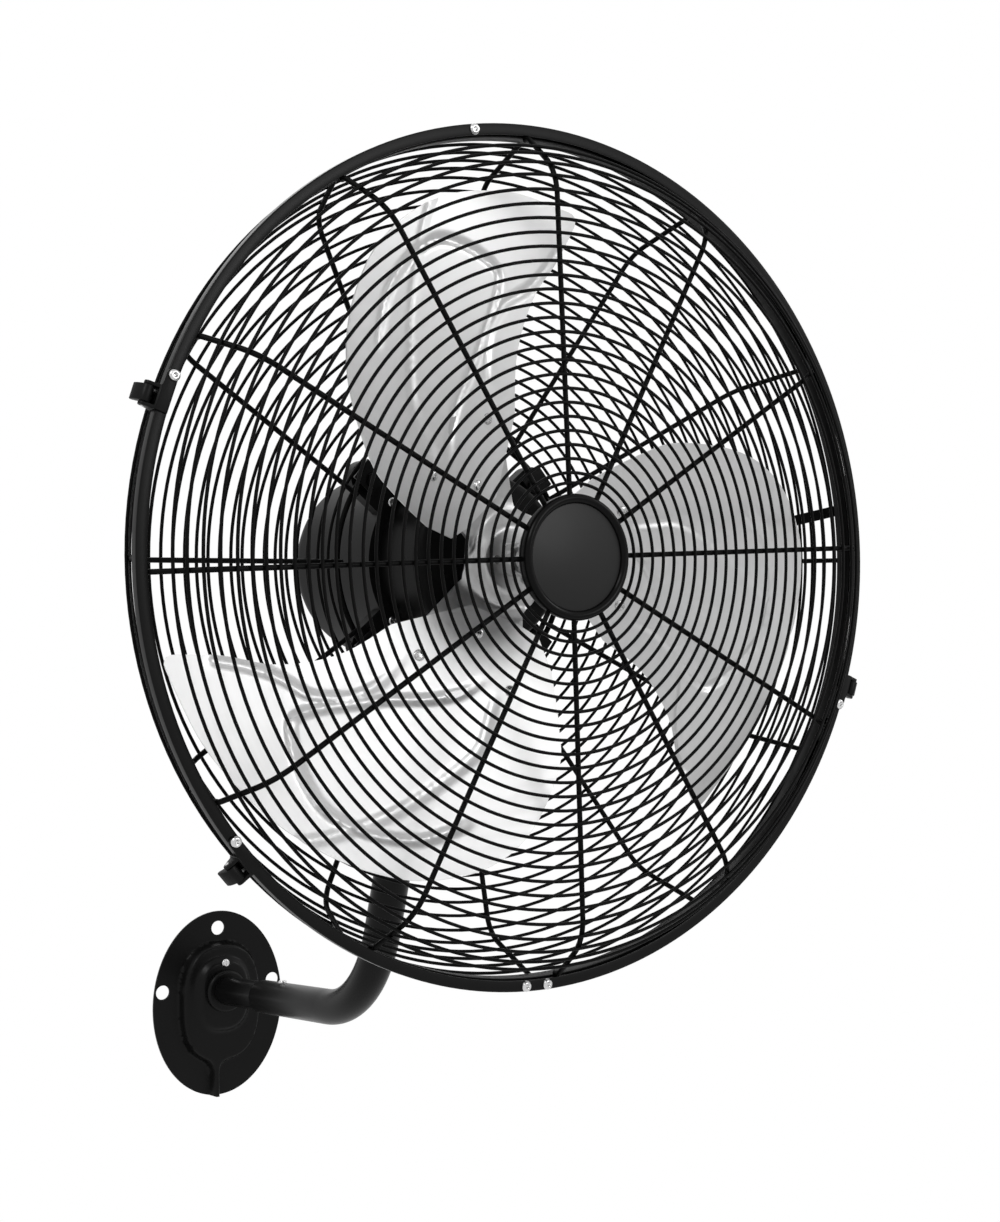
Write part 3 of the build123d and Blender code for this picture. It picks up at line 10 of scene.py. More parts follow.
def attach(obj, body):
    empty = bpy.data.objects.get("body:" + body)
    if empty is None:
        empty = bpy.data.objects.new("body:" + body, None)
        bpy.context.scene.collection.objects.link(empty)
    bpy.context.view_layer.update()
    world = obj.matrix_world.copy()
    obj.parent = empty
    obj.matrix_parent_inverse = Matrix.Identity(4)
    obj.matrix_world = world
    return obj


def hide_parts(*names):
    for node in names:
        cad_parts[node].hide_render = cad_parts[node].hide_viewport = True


# Wall mounted fan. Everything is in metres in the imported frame: +Z up, +Y into the wall.
# The lists of sizes are in millimetres, as on a drawing.

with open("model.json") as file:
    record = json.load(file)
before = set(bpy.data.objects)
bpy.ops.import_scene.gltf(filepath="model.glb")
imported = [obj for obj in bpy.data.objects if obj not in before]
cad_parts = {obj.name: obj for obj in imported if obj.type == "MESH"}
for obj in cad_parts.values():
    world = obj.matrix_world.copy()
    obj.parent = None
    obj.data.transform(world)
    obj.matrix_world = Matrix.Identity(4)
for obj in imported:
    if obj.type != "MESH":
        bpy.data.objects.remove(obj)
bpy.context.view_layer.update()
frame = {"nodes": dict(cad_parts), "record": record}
nodes = frame["nodes"]
scene = bpy.context.scene
print("frame loaded:", len(nodes), "nodes")

# fitted to the photo: place and reach in metres, angles in degrees, lens and film in millimetres
camera = {"place": (-0.8288, -1.8418, 0.4065), "turn": -32.89, "rise": 0.22, "roll": -0.31,
          "lens": 55.05, "filmHigh": 36.0, "reach": 50.0}


def makeCamera():
    turn, rise, roll = (radians(camera[key]) for key in ("turn", "rise", "roll"))
    back = Vector((sin(turn) * cos(rise), -cos(turn) * cos(rise), sin(rise)))
    right = Vector((cos(turn), sin(turn), 0.0))
    up = back.cross(right)
    sideways = right * cos(roll) + up * sin(roll)
    upright = up * cos(roll) - right * sin(roll)
    lens = bpy.data.cameras.new("camera")
    lens.sensor_fit = "VERTICAL"
    lens.sensor_height = camera["filmHigh"]
    lens.lens = camera["lens"]
    lens.clip_end = camera["reach"]
    item = bpy.data.objects.new("camera", lens)
    scene.collection.objects.link(item)
    item.matrix_world = Matrix((sideways, upright, back)).transposed().to_4x4()
    item.matrix_world.translation = Vector(camera["place"])
    scene.camera = item


lamps = {  # name: (place, aimed at, width, height, watts)
    "key": ((-1.9, -1.6, 2.1), (0.0, -0.5, 0.5), 0.9, 0.9, 24.0),
    "front": ((0.9, -3.0, 1.35), (0.0, -0.5, 0.4), 1.2, 1.0, 10.5),
    "sheen": ((0.85, -2.65, 0.85), (0.0, -0.65, 0.45), 0.4, 0.4, 4.0),
    "fill": ((2.6, -1.7, 1.75), (0.0, -0.6, 0.7), 1.0, 0.8, 12.5),
    "back": ((0.3, 1.4, 1.9), (0.0, -0.5, 0.5), 2.0, 0.8, 6.0),
}


def makeLamps():
    for name, (place, aim, wide, high, watts) in lamps.items():
        light = bpy.data.lights.new(name, "AREA")
        light.shape = "RECTANGLE"
        light.size = wide
        light.size_y = high
        light.energy = watts
        item = bpy.data.objects.new(name, light)
        scene.collection.objects.link(item)
        item.location = place
        item.rotation_euler = (Vector(place) - Vector(aim)).to_track_quat("Z", "Y").to_euler()


class Value:
    # a number socket that can be used in plain arithmetic

    def __init__(self, graph, socket):
        self.graph = graph
        self.socket = socket

    def maths(self, operation, first, second):
        made = self.graph.node("ShaderNodeMath", {"operation": operation}, {0: first, 1: second})
        return Value(self.graph, made.outputs[0])

    def __add__(self, other):
        return self.maths("ADD", self, other)

    __radd__ = __add__

    def __sub__(self, other):
        return self.maths("SUBTRACT", self, other)

    def __rsub__(self, other):
        return self.maths("SUBTRACT", other, self)

    def __mul__(self, other):
        return self.maths("MULTIPLY", self, other)

    __rmul__ = __mul__


class Graph:
    # the nodes of a material or of the world

    def __init__(self, owner):
        owner.use_nodes = True
        self.tree = owner.node_tree
        self.tree.nodes.clear()

    def node(self, kind, settings=None, sockets=None):
        made = self.tree.nodes.new(kind)
        for key, value in (settings or {}).items():
            if key == "stops":
                self.setStops(made.color_ramp, value)
            else:
                setattr(made, key, value)
        for key, value in (sockets or {}).items():
            self.feed(made.inputs[key], value)
        return made

    def feed(self, socket, value):
        if isinstance(value, Value):
            value = value.socket
        if isinstance(value, bpy.types.NodeSocket):
            self.tree.links.new(value, socket)
        else:
            socket.default_value = value

    def setStops(self, ramp, stops):
        while len(ramp.elements) < len(stops):
            ramp.elements.new(1.0)
        for element, (position, shade) in zip(ramp.elements, stops):
            element.position = position
            element.color = (shade, shade, shade, 1.0)


class Finish(Graph):
    # one material, its shader and what feeds it

    def __init__(self, name):
        self.material = bpy.data.materials.new(name)
        super().__init__(self.material)
        self.shader = self.node("ShaderNodeBsdfPrincipled")
        self.node("ShaderNodeOutputMaterial", {}, {"Surface": self.shader.outputs[0]})
        self.place = self.node("ShaderNodeTexCoord").outputs["Object"]

    def stretched(self, scale):
        return self.node("ShaderNodeMapping", {}, {"Vector": self.place, "Scale": scale}).outputs[0]

    def noise(self, scale, detail=3.0, roughness=0.5, place=None):
        made = self.node("ShaderNodeTexNoise", {}, {
            "Vector": place or self.place, "Scale": scale, "Detail": detail, "Roughness": roughness})
        return Value(self, made.outputs["Fac"])

    def cells(self, scale):
        made = self.node("ShaderNodeTexVoronoi", {}, {"Vector": self.place, "Scale": scale})
        return Value(self, made.outputs["Distance"])

    def ramp(self, value, stops):
        made = self.node("ShaderNodeValToRGB", {"stops": stops}, {"Fac": value})
        return Value(self, made.outputs["Color"])

    def blend(self, share, low, high):
        made = self.node("ShaderNodeMix", {"data_type": "RGBA"}, {0: share, 6: low, 7: high})
        return made.outputs[2]

    def bump(self, height, depth, strength=1.0):
        made = self.node("ShaderNodeBump", {}, {"Height": height, "Distance": depth, "Strength": strength})
        self.feed(self.shader.inputs["Normal"], made.outputs[0])

    def wears(self, colour, roughness):
        self.feed(self.shader.inputs["Base Color"], colour)
        self.feed(self.shader.inputs["Roughness"], roughness)

    def metal(self, amount):
        self.shader.inputs["Metallic"].default_value = amount

    def shine(self, level):
        self.shader.inputs["Specular IOR Level"].default_value = level


def grey(level, warmth=0.0):
    return (level * (1 + warmth), level, level * (1 - warmth), 1.0)


# noises are (scale, detail, roughness); low and high are the two greys that a cloud blends
powder = {"low": 0.0015, "high": 0.0035, "rough": 0.26, "peel": 1400.0, "peelDeep": 0.00002, "shine": 0.11,
          "cloud": 18.0, "cloudRough": 0.10, "rub": (55.0, 6.0, 0.7), "rubStops": ((0.66, 0.0), (0.74, 1.0)),
          "rubTint": 0.35, "rubPale": 2.4, "rubRough": 0.06}


def powderCoat(name, change=None):
    # baked black coat: orange peel, cloudy gloss, a few paler rub marks
    look = {**powder, **(change or {})}
    coat = Finish(name)
    cloud = coat.noise(look["cloud"])
    peel = coat.noise(look["peel"], 2.0)
    rub = coat.ramp(coat.noise(*look["rub"]), look["rubStops"])
    shade = coat.blend(cloud, grey(look["low"]), grey(look["high"]))
    shade = coat.blend(rub * look["rubTint"], shade, grey(look["high"] * look["rubPale"]))
    coat.wears(shade, look["rough"] + cloud * look["cloudRough"] - rub * look["rubRough"])
    coat.bump(peel, look["peelDeep"])
    coat.shine(look["shine"])
    return coat.material


castLook = {"low": 0.0015, "high": 0.003, "rough": 0.42, "peel": 900.0, "peelDeep": 0.00005, "shine": 0.08}
wireLook = {"low": 0.001, "high": 0.0025, "rough": 0.33, "shine": 0.05}

rolled = {"low": 0.61, "high": 0.68, "rough": 0.30, "metal": 0.9, "lines": (30.0, 900.0, 900.0),
          "linesRough": 0.10, "linesDeep": 0.00003, "cloud": (9.0, 2.0), "marks": (26.0, 5.0, 0.65),
          "markStops": ((0.58, 0.0), (0.76, 1.0)), "markTint": 0.25, "markShade": 0.54, "markRough": 0.05}


def rolledAluminium():
    # satin sheet with rolling lines along the blade, faint clouding and finger marks
    sheet = Finish("satinAluminium")
    lines = sheet.noise(1.0, 4.0, 0.6, sheet.stretched(rolled["lines"]))
    cloud = sheet.noise(*rolled["cloud"])
    marks = sheet.ramp(sheet.noise(*rolled["marks"]), rolled["markStops"])
    shade = sheet.blend(cloud, grey(rolled["low"]), grey(rolled["high"]))
    shade = sheet.blend(marks * rolled["markTint"], shade, grey(rolled["markShade"]))
    sheet.wears(shade, rolled["rough"] + lines * rolled["linesRough"] + marks * rolled["markRough"])
    sheet.bump(lines, rolled["linesDeep"])
    sheet.metal(rolled["metal"])
    return sheet.material


polish = {"cloud": (60.0, 4.0), "grain": 1600.0, "grainRough": 0.05, "grainDeep": 0.000004,
          "dull": (140.0, 5.0, 0.7), "dullStops": ((0.60, 0.0), (0.78, 1.0)), "dullRough": 0.14}


def brightMetal(name, low, high, rough, warmth=0.0, lines=None):
    # bare or plated metal: fine grain or drawn lines, and dull patches
    metal = Finish(name)
    cloud = metal.noise(*polish["cloud"])
    grain = metal.noise(1.0, 3.0, 0.6, metal.stretched(lines)) if lines else metal.noise(polish["grain"])
    dull = metal.ramp(metal.noise(*polish["dull"]), polish["dullStops"])
    shade = metal.blend(cloud, grey(low, warmth), grey(high, warmth))
    metal.wears(shade, rough + dull * polish["dullRough"] + grain * polish["grainRough"])
    metal.bump(grain, polish["grainDeep"])
    metal.metal(1.0)
    return metal.material


moulding = {"flow": 25.0, "flowRough": 0.08, "scuff": (90.0, 6.0, 0.7),
            "scuffStops": ((0.62, 0.0), (0.72, 1.0)), "scuffTint": 0.2, "scuffPale": 1.8, "scuffRough": 0.05}


def mouldedPlastic(name, low, high, rough, grain, grainDeep, shine):
    # fine grain in the surface, slight flow shading and scuffs
    part = Finish(name)
    flow = part.noise(moulding["flow"])
    pits = part.cells(grain)
    scuff = part.ramp(part.noise(*moulding["scuff"]), moulding["scuffStops"])
    shade = part.blend(flow, grey(low), grey(high))
    shade = part.blend(scuff * moulding["scuffTint"], shade, grey(high * moulding["scuffPale"]))
    part.wears(shade, rough + flow * moulding["flowRough"] + scuff * moulding["scuffRough"])
    part.bump(pits, grainDeep)
    part.shine(shine)
    return part.material


finishes = {
    "black_steel": powderCoat("powderBlackSteel"),
    "black_wire": powderCoat("powderBlackWire", wireLook),
    "black_cast": powderCoat("powderBlackCast", castLook),
    "satin_aluminium": rolledAluminium(),
    "bright_steel": brightMetal("brightZinc", 0.46, 0.56, 0.26),
    "chrome_screw": brightMetal("polishedScrews", 0.52, 0.62, 0.16),
    "cap_plastic": mouldedPlastic("capBlack", 0.0015, 0.003, 0.18, 2600.0, 0.000006, 0.07),
    "cap_inlay": mouldedPlastic("capInlay", 0.0015, 0.003, 0.34, 3600.0, 0.000004, 0.22),
    "clip_plastic": mouldedPlastic("clipBlack", 0.0015, 0.004, 0.34, 2200.0, 0.00002, 0.10),
    "knob_plastic": mouldedPlastic("knobBlack", 0.003, 0.006, 0.42, 2000.0, 0.00005, 0.2),
    "lamination": brightMetal("coreSteel", 0.22, 0.32, 0.38, 0.0, (400.0, 2000.0, 400.0)),
    "copper_winding": brightMetal("enamelCopper", 0.30, 0.42, 0.30, 0.55, (300.0, 1500.0, 1500.0)),
    "bearing_steel": brightMetal("groundSteel", 0.60, 0.72, 0.12),
    "capacitor_case": mouldedPlastic("paleCase", 0.62, 0.70, 0.38, 1800.0, 0.00003, 0.5),
}
slotOf = {part["node"]: part["material_slot"] for part in frame["record"]["subparts"]}


def dressNodes():
    for name, item in nodes.items():
        item.data.materials.clear()
        item.data.materials.append(finishes[slotOf[name]])


# the head's sizes are about the fan's own axis, with y = 0 at the rim's front
place = {"wallToRim": 624.0, "fanHeight": 442.0}


def headPoint(x, y, z):
    return Vector((x, y - place["wallToRim"], z + place["fanHeight"])) / 1000


def polar(radius, angle):
    return radius * cos(radians(angle)), radius * sin(radians(angle))


def turnedPoint(radius, along, y, angle):
    # a point drawn at +X (radius outwards, along the rim upwards), turned anticlockwise to an angle
    x, z = polar(radius, angle)
    u, w = polar(along, angle + 90)
    return headPoint(x + u, y, z + w)


def addPiece(name, data, slot, body, *replaced):
    item = bpy.data.objects.new(name, data)
    scene.collection.objects.link(item)
    item.data.materials.append(finishes[slot])
    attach(item, body)
    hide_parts(*replaced)


def finishMesh(name, work, sharpAt=38.0):
    bmesh.ops.remove_doubles(work, verts=work.verts, dist=1e-7)
    bmesh.ops.recalc_face_normals(work, faces=work.faces)
    data = bpy.data.meshes.new(name)
    work.to_mesh(data)
    work.free()
    data.shade_smooth()
    data.set_sharp_from_angle(angle=radians(sharpAt))
    return data


def skinRows(work, rows):
    # faces between rows of points; each row closes on itself, and so does the whole set
    made = [[work.verts.new(point) for point in row] for row in rows]
    for low, high in zip(made, made[1:] + made[:1]):
        for j in range(len(low)):
            k = (j + 1) % len(low)
            work.faces.new((low[j], low[k], high[k], high[j]))


def lathe(work, profile, segments, toPoint):
    # a closed profile of (radius, y), turned about an axis; toPoint places it
    rows = []
    for i in range(segments):
        angle = 360.0 * i / segments
        rows.append([toPoint(*polar(radius, angle), y) for radius, y in profile])
    skinRows(work, rows)


def fanPoint(x, z, y):
    return headPoint(x, y, z)


def roundedBox(low, high, edge, steps=3):
    # a closed profile: a rectangle in (radius, y) with round corners
    (r0, y0), (r1, y1) = low, high
    profile = []
    for cr, cy, start in ((r1 - edge, y1 - edge, 0), (r0 + edge, y1 - edge, 90),
                          (r0 + edge, y0 + edge, 180), (r1 - edge, y0 + edge, 270)):
        for i in range(steps + 1):
            dr, dy = polar(edge, start + 90.0 * i / steps)
            profile.append((cr + dr, cy + dy))
    return profile


def roundedRoute(corners, bends, step=3.0):
    # a line in the plane with an arc of a given radius at each inner corner
    line = [Vector(corners[0])]
    for before, corner, after, bend in zip(corners, corners[1:], corners[2:], bends):
        into = (Vector(corner) - Vector(before)).normalized()
        away = (Vector(after) - Vector(corner)).normalized()
        swing = into.angle(away)
        side = 1 if into.x * away.y - into.y * away.x > 0 else -1
        start = Vector(corner) - into * bend * tan(swing / 2)
        middle = start + Vector((-into.y, into.x)) * bend * side
        count = max(2, int(degrees(swing) / step))
        for i in range(count + 1):
            spoke = start - middle
            turn = side * swing * i / count
            line.append(middle + Vector((spoke.x * cos(turn) - spoke.y * sin(turn),
                                         spoke.x * sin(turn) + spoke.y * cos(turn))))
    line.append(Vector(corners[-1]))
    return line


def alongLine(line, distance):
    # place and direction at a distance along a line
    for a, b in zip(line, line[1:]):
        step = (b - a).length
        if distance <= step:
            return a + (b - a) * (distance / step), (b - a).normalized()
        distance -= step
    return line[-1], (line[-1] - line[-2]).normalized()


def lineLength(line):
    return sum((b - a).length for a, b in zip(line, line[1:]))


def wirePiece(name, strands, thickness, closed, slot, body, *replaced):
    # round wires as one curve: each strand is a list of points
    data = bpy.data.curves.new(name, "CURVE")
    data.dimensions = "3D"
    data.bevel_depth = thickness / 2000  # half the wire, in metres
    data.bevel_resolution = 3
    data.use_fill_caps = True
    for points in strands:
        spline = data.splines.new("POLY")
        spline.points.add(len(points) - 1)
        for item, point in zip(spline.points, points):
            item.co = (*point, 1.0)
        spline.use_cyclic_u = closed
    addPiece(name, data, slot, body, *replaced)


print("helpers ready")

# wire guards: wire thicknesses, counts and turns, then the line that each guard's ribs follow, as (radius, y)
guard = {"rib": 4.3, "ring": 2.7, "ribs": 12, "facePitch": 10.83, "backPitch": 10.95, "frontTurn": 2.1,
         "rearTurn": 0.3, "faceY": -38.5, "shoulder": (297.6, -36.0), "faceBend": 40.0, "footBend": 5.0,
         "ribStart": 34.0, "capR": 49.0, "firstRing": 57.2, "secondRing": 65.0, "frontSeatR": 329.0,
         "frontEnd": 5.5, "backShoulder": (308.0, 85.0), "backBend": 30.0, "backWallY": 24.0,
         "seatBend": 14.0, "rearSeatR": 333.7, "rearEnd": 11.5, "firstBackRing": 12.0, "hubRingR": 112.0,
         "hubRing": 5.0, "hubRingY": 135.5}
guard["backRibY"] = guard["hubRingY"] - (guard["hubRing"] + guard["rib"]) / 2
guard["backStart"] = guard["hubRingR"] - guard["rib"] / 2


def frontLine():
    corners = [(guard["ribStart"], guard["faceY"]), (guard["capR"], guard["faceY"]), guard["shoulder"],
               (guard["frontSeatR"], 0.0), (guard["frontSeatR"], guard["frontEnd"])]
    return roundedRoute(corners, [guard["faceBend"], guard["faceBend"], guard["footBend"]])


def rearLine():
    corners = [(guard["backStart"], guard["backRibY"]), guard["backShoulder"],
               (guard["rearSeatR"], guard["backWallY"]), (guard["rearSeatR"], guard["rearEnd"])]
    return roundedRoute(corners, [guard["backBend"], guard["seatBend"]])


def ringPlaces(line, distances, side):
    # rings lie on the outside of the ribs
    off = (guard["rib"] + guard["ring"]) / 2
    found = []
    for distance in distances:
        spot, way = alongLine(line, distance)
        found.append((spot.x - side * way.y * off, spot.y + side * way.x * off))
    return found


def hoopPoints(radius, y, count=160):
    spots = [polar(radius, 360.0 * i / count) for i in range(count)]
    return [headPoint(x, y, z) for x, z in spots]


def ribStrands(line, turn):
    strands = []
    for i in range(guard["ribs"]):
        angle = 360.0 * i / guard["ribs"] + turn
        strands.append([turnedPoint(spot.x, 0.0, spot.y, angle) for spot in line])
    return strands


def spaced(start, stop, pitch):
    found = []
    while start < stop:
        found.append(start)
        start += pitch
    return found


def makeGuards():
    front, rear = frontLine(), rearLine()
    frontEnd = lineLength(front) - guard["frontEnd"] - guard["facePitch"]
    rearEnd = lineLength(rear) - (guard["backWallY"] - guard["rearEnd"])
    onFront = [guard["firstRing"] - guard["ribStart"]]
    onFront += spaced(guard["secondRing"] - guard["ribStart"], frontEnd, guard["facePitch"])
    frontRings = ringPlaces(front, onFront, -1)
    rearRings = ringPlaces(rear, spaced(guard["firstBackRing"], rearEnd, guard["backPitch"]), 1)
    faceLimit = guard["shoulder"][0] - guard["faceBend"] / 2
    backLimit = guard["backShoulder"][0] - guard["faceBend"] / 2
    groups = (("frontFaceRings", frontRings, faceLimit, False, "front_guard_face_rings"),
              ("frontSideRings", frontRings, faceLimit, True, "front_guard_side_rings"),
              ("rearBackRings", rearRings, backLimit, False, "rear_guard_back_rings"),
              ("rearWallRings", rearRings, backLimit, True, "rear_guard_wall_rings"))
    for name, rings, limit, outer, node in groups:
        strands = [hoopPoints(*ring) for ring in rings if (ring[0] >= limit) == outer]
        wirePiece(name, strands, guard["ring"], True, "black_wire", "head", node)
    wirePiece("frontRibs", ribStrands(front, guard["frontTurn"]), guard["rib"], False,
              "black_wire", "head", "front_guard_ribs")
    wirePiece("rearRibs", ribStrands(rear, guard["rearTurn"]), guard["rib"], False,
              "black_wire", "head", "rear_guard_ribs")
    wirePiece("hubRing", [hoopPoints(guard["hubRingR"], guard["hubRingY"], 120)], guard["hubRing"], True,
              "black_wire", "head", "rear_guard_hub_ring")


rim = {"outer": 340.0, "flange": 8.8, "skirt": 8.0, "sheet": 1.5, "hoopOuter": 338.0, "hoopBack": 11.5,
       "band": 331.5, "bandFront": 5.5, "bandBack": 20.0, "bandThick": 1.5, "bandGap": 0.05, "edge": 1.1,
       "lip": (0.5, 0.15), "chamfer": 0.3, "hoopEdge": 0.6, "bandEdge": 0.5, "segments": 240}


def turnedPiece(name, profile, segments, slot, body, *replaced):
    work = bmesh.new()
    lathe(work, profile, segments, fanPoint)
    addPiece(name, finishMesh(name, work), slot, body, *replaced)


def angleSection():
    # flange with a rolled outer edge, and the skirt behind it
    outer, sheet, edge, skirt, chamfer = (rim[key] for key in ("outer", "sheet", "edge", "skirt", "chamfer"))
    inner, under = outer - rim["flange"], outer - sheet
    lip, lipMiddle = rim["lip"]
    profile = [(inner, lip), (inner + lipMiddle, lipMiddle), (inner + lip, 0.0)]
    for i in range(5):
        dr, dy = polar(edge, 90.0 * i / 4)
        profile.append((outer - edge + dy, edge - dr))
    profile += [(outer, skirt - chamfer), (outer - chamfer, skirt), (under + chamfer, skirt),
                (under, skirt - chamfer), (under, sheet + chamfer), (under - chamfer, sheet),
                (inner + lip, sheet), (inner, sheet - lip)]
    return profile


def makeRim():
    turnedPiece("frontHoop", angleSection(), rim["segments"], "black_steel", "head", "front_rim_hoop")
    bandR = rim["band"]
    low, high = (bandR + rim["bandGap"], rim["skirt"]), (rim["hoopOuter"], rim["hoopBack"])
    profile = roundedBox(low, high, rim["hoopEdge"])
    turnedPiece("rearHoop", profile, rim["segments"], "black_steel", "head", "rear_rim_hoop")
    low, high = (bandR - rim["bandThick"], rim["bandFront"]), (bandR, rim["bandBack"])
    profile = roundedBox(low, high, rim["bandEdge"], 2)
    turnedPiece("rimBand", profile, rim["segments"], "black_steel", "head", "rim_band")


# pressed sheet: a flat outline with holes, raised into shape, with real thickness. rowShare and roomShare
# are shares of a fine step, and slopeStep is how far aside the sheet's slope is measured
sheetGrid = {"rowShare": 0.87, "roomShare": 0.7, "slopeStep": 0.2, "merge": 1e-6}


def evenLoop(points, spacing):
    # points round a closed outline, about evenly spaced, keeping its corners
    found = []
    for a, b in zip(points, points[1:] + points[:1]):
        a, b = Vector(a), Vector(b)
        count = max(1, round((b - a).length / spacing))
        found.extend(a + (b - a) * (i / count) for i in range(count))
    return found


def isInside(point, loop):
    inside = False
    x, y = point
    for a, b in zip(loop, loop[1:] + loop[:1]):
        if (a[1] > y) != (b[1] > y) and x < (b[0] - a[0]) * (y - a[1]) / (b[1] - a[1]) + a[0]:
            inside = not inside
    return inside


def flatMesh(outline, holes, spacing, isFine):
    # triangles that fill an outline and leave the holes; isFine says where the grid is twice as dense
    loops = [evenLoop(outline, spacing)] + [evenLoop(hole, spacing) for hole in holes]

    def inSheet(spot):
        return isInside(spot, loops[0]) and not any(isInside(spot, hole) for hole in loops[1:])

    points, edges = [], []
    for loop in loops:
        start = len(points)
        points += loop
        edges += [(start + i, start + (i + 1) % len(loop)) for i in range(len(loop))]
    near = {}
    for point in points:
        near.setdefault((int(point.x // spacing), int(point.y // spacing)), []).append(point)

    def hasRoom(spot, column, row):
        beside = [q for i in (-1, 0, 1) for j in (-1, 0, 1) for q in near.get((column + i, row + j), ())]
        return all((spot - q).length > fine * sheetGrid["roomShare"] for q in beside)

    lowX, highX = min(p.x for p in points), max(p.x for p in points)
    lowY, highY = min(p.y for p in points), max(p.y for p in points)
    fine = spacing / 2
    row, y = 0, lowY
    while y < highY:
        x = lowX + (row % 2) * fine / 2
        column = 0
        while x < highX:
            spot = Vector((x, y))
            wanted = (row % 2 == 0 and column % 2 == 0) or isFine(spot)
            if wanted and inSheet(spot) and hasRoom(spot, int(x // spacing), int(y // spacing)):
                points.append(spot)
            x += fine
            column += 1
        y += fine * sheetGrid["rowShare"]
        row += 1
    spots, _, faces, _, _, _ = delaunay_2d_cdt(points, edges, [], 0, sheetGrid["merge"])
    kept = []
    for face in faces:
        middle = sum((spots[i] for i in face), Vector((0.0, 0.0))) / len(face)
        if inSheet(middle):
            kept.append(tuple(face))
    return spots, kept


def pressSheet(work, flat, surface, thickness, toPoint):
    # surface gives the front face's point for a flat spot; the back face lies square behind it
    spots, faces = flat
    step = sheetGrid["slopeStep"]
    fronts, backs = [], []
    for spot in spots:
        here = surface(spot.x, spot.y)
        du = surface(spot.x + step, spot.y) - here
        dv = surface(spot.x, spot.y + step) - here
        square = du.cross(dv).normalized()
        if square.y < 0:
            square = -square
        fronts.append(work.verts.new(toPoint(here)))
        backs.append(work.verts.new(toPoint(here + square * thickness)))
    edgeCount = {}
    for face in faces:
        work.faces.new([fronts[i] for i in face])
        work.faces.new([backs[i] for i in reversed(face)])
        for a, b in zip(face, face[1:] + face[:1]):
            key = (min(a, b), max(a, b))
            edgeCount[key] = edgeCount.get(key, 0) + 1
    for (a, b), count in edgeCount.items():
        if count == 1:
            work.faces.new((fronts[a], fronts[b], backs[b], backs[a]))


def circleLoop(x, y, radius, count=40):
    return [(x + dx, y + dy) for dx, dy in (polar(radius, 360.0 * i / count) for i in range(count))]


def smoothLine(points, steps=8):
    # an even curve through points
    chain = [points[0], *points, points[-1]]
    found = []
    for p0, p1, p2, p3 in zip(chain, chain[1:], chain[2:], chain[3:]):
        p0, p1, p2, p3 = Vector(p0), Vector(p1), Vector(p2), Vector(p3)
        for i in range(steps):
            t = i / steps
            found.append(0.5 * (2 * p1 + (p2 - p0) * t + (2 * p0 - 5 * p1 + 4 * p2 - p3) * t * t
                                + (3 * p1 - p0 - 3 * p2 + p3) * t ** 3))
    found.append(Vector(points[-1]))
    return found


def farFrom(spot, line):
    # distance to a line, and how far along it the nearest place is, 0 to 1
    best, where = 1e9, 0
    for i, point in enumerate(line):
        gap = (spot - point).length
        if gap < best:
            best, where = gap, i
    return best, where / (len(line) - 1)


def ease(value):
    value = min(1.0, max(0.0, value))
    return value * value * (3 - 2 * value)


# blades: outline and rivets as (radius, degrees) from the blade's own direction
blades = {"angles": (90.0, 210.0, 330.0), "thick": 1.2, "pitch": 16.7, "bendR": 1085.0, "midY": 38.0,
          "midB": 52.0, "cornerR": 9.0, "spacing": 5.0, "fineBeyond": 4.0,
          "leading": ((118.4, -4.5), (168.7, -4.2), (217.6, -8.3), (258.4, -13.6), (303.0, -16.4)),
          "outer": ((303.0, -16.4), (300.0, -4.0), (297.0, 4.0), (293.5, 12.0), (287.5, 20.0), (279.5, 28.0),
                    (268.0, 36.0), (246.5, 45.8), (216.0, 54.8), (169.0, 65.0), (136.0, 69.5), (94.7, 75.0)),
          "root": ((94.7, 75.0), (66.0, 76.0), (52.0, 62.0), (52.0, 14.0), (118.4, -4.5)),
          "rivets": ((68.0, 29.8), (106.0, 52.5), (115.0, 11.0)), "rivetHole": 2.4}
creases = (  # (points along and across the blade, half width, depth, fading at start, fading at end)
    (((155, 145), (175, 141), (200, 133), (221, 118), (237, 100), (249, 77), (250, 55), (244, 29),
      (234, 10), (222, 8), (204, 14), (180, 25), (160, 34), (146, 42), (124, 55), (99, 64), (72, 66)),
     5.5, 3.2, 0.06, 0.10),
    (((74, 78), (97, 94), (113, 104), (137, 108), (186, 108), (219, 103), (257, 93), (291, 78)),
     6.5, 1.8, 0.10, 0.05),
    (((262, -64), (239, -44), (221, -23), (209, -1), (194, 11), (176, 20), (150, 22), (112, 13)),
     6.0, 2.4, 0.05, 0.25),
)


def bendCentre():
    # the line that the sheet is bent about, as (y, across)
    pitch = radians(blades["pitch"])
    return blades["midY"] - blades["bendR"] * cos(pitch), blades["midB"] - blades["bendR"] * sin(pitch)


def bladeSurface(along, across, depth=0.0):
    centreY, centreB = bendCentre()
    return Vector((along, centreY + sqrt(blades["bendR"] ** 2 - (across - centreB) ** 2) + depth, across))


def roundCorner(loop, where, reach):
    # replaces the corner nearest a spot by a short curve
    nearest = min(range(len(loop)), key=lambda i: (loop[i] - Vector(where)).length)
    before = [p for p in loop[:nearest] if (p - loop[nearest]).length > reach]
    after = [p for p in loop[nearest + 1:] if (p - loop[nearest]).length > reach]
    a, corner, b = before[-1], loop[nearest], after[0]
    curve = [a * (1 - t) ** 2 + corner * 2 * t * (1 - t) + b * t * t for t in (0.2, 0.4, 0.6, 0.8)]
    return before + curve + after


def bladeOutline():
    def side(name):
        return smoothLine([polar(*item) for item in blades[name]])[:-1]
    loop = side("leading") + side("outer")
    loop += [Vector(polar(*item)) for item in blades["root"][:-1]]
    return roundCorner(loop, polar(*blades["outer"][0]), blades["cornerR"])


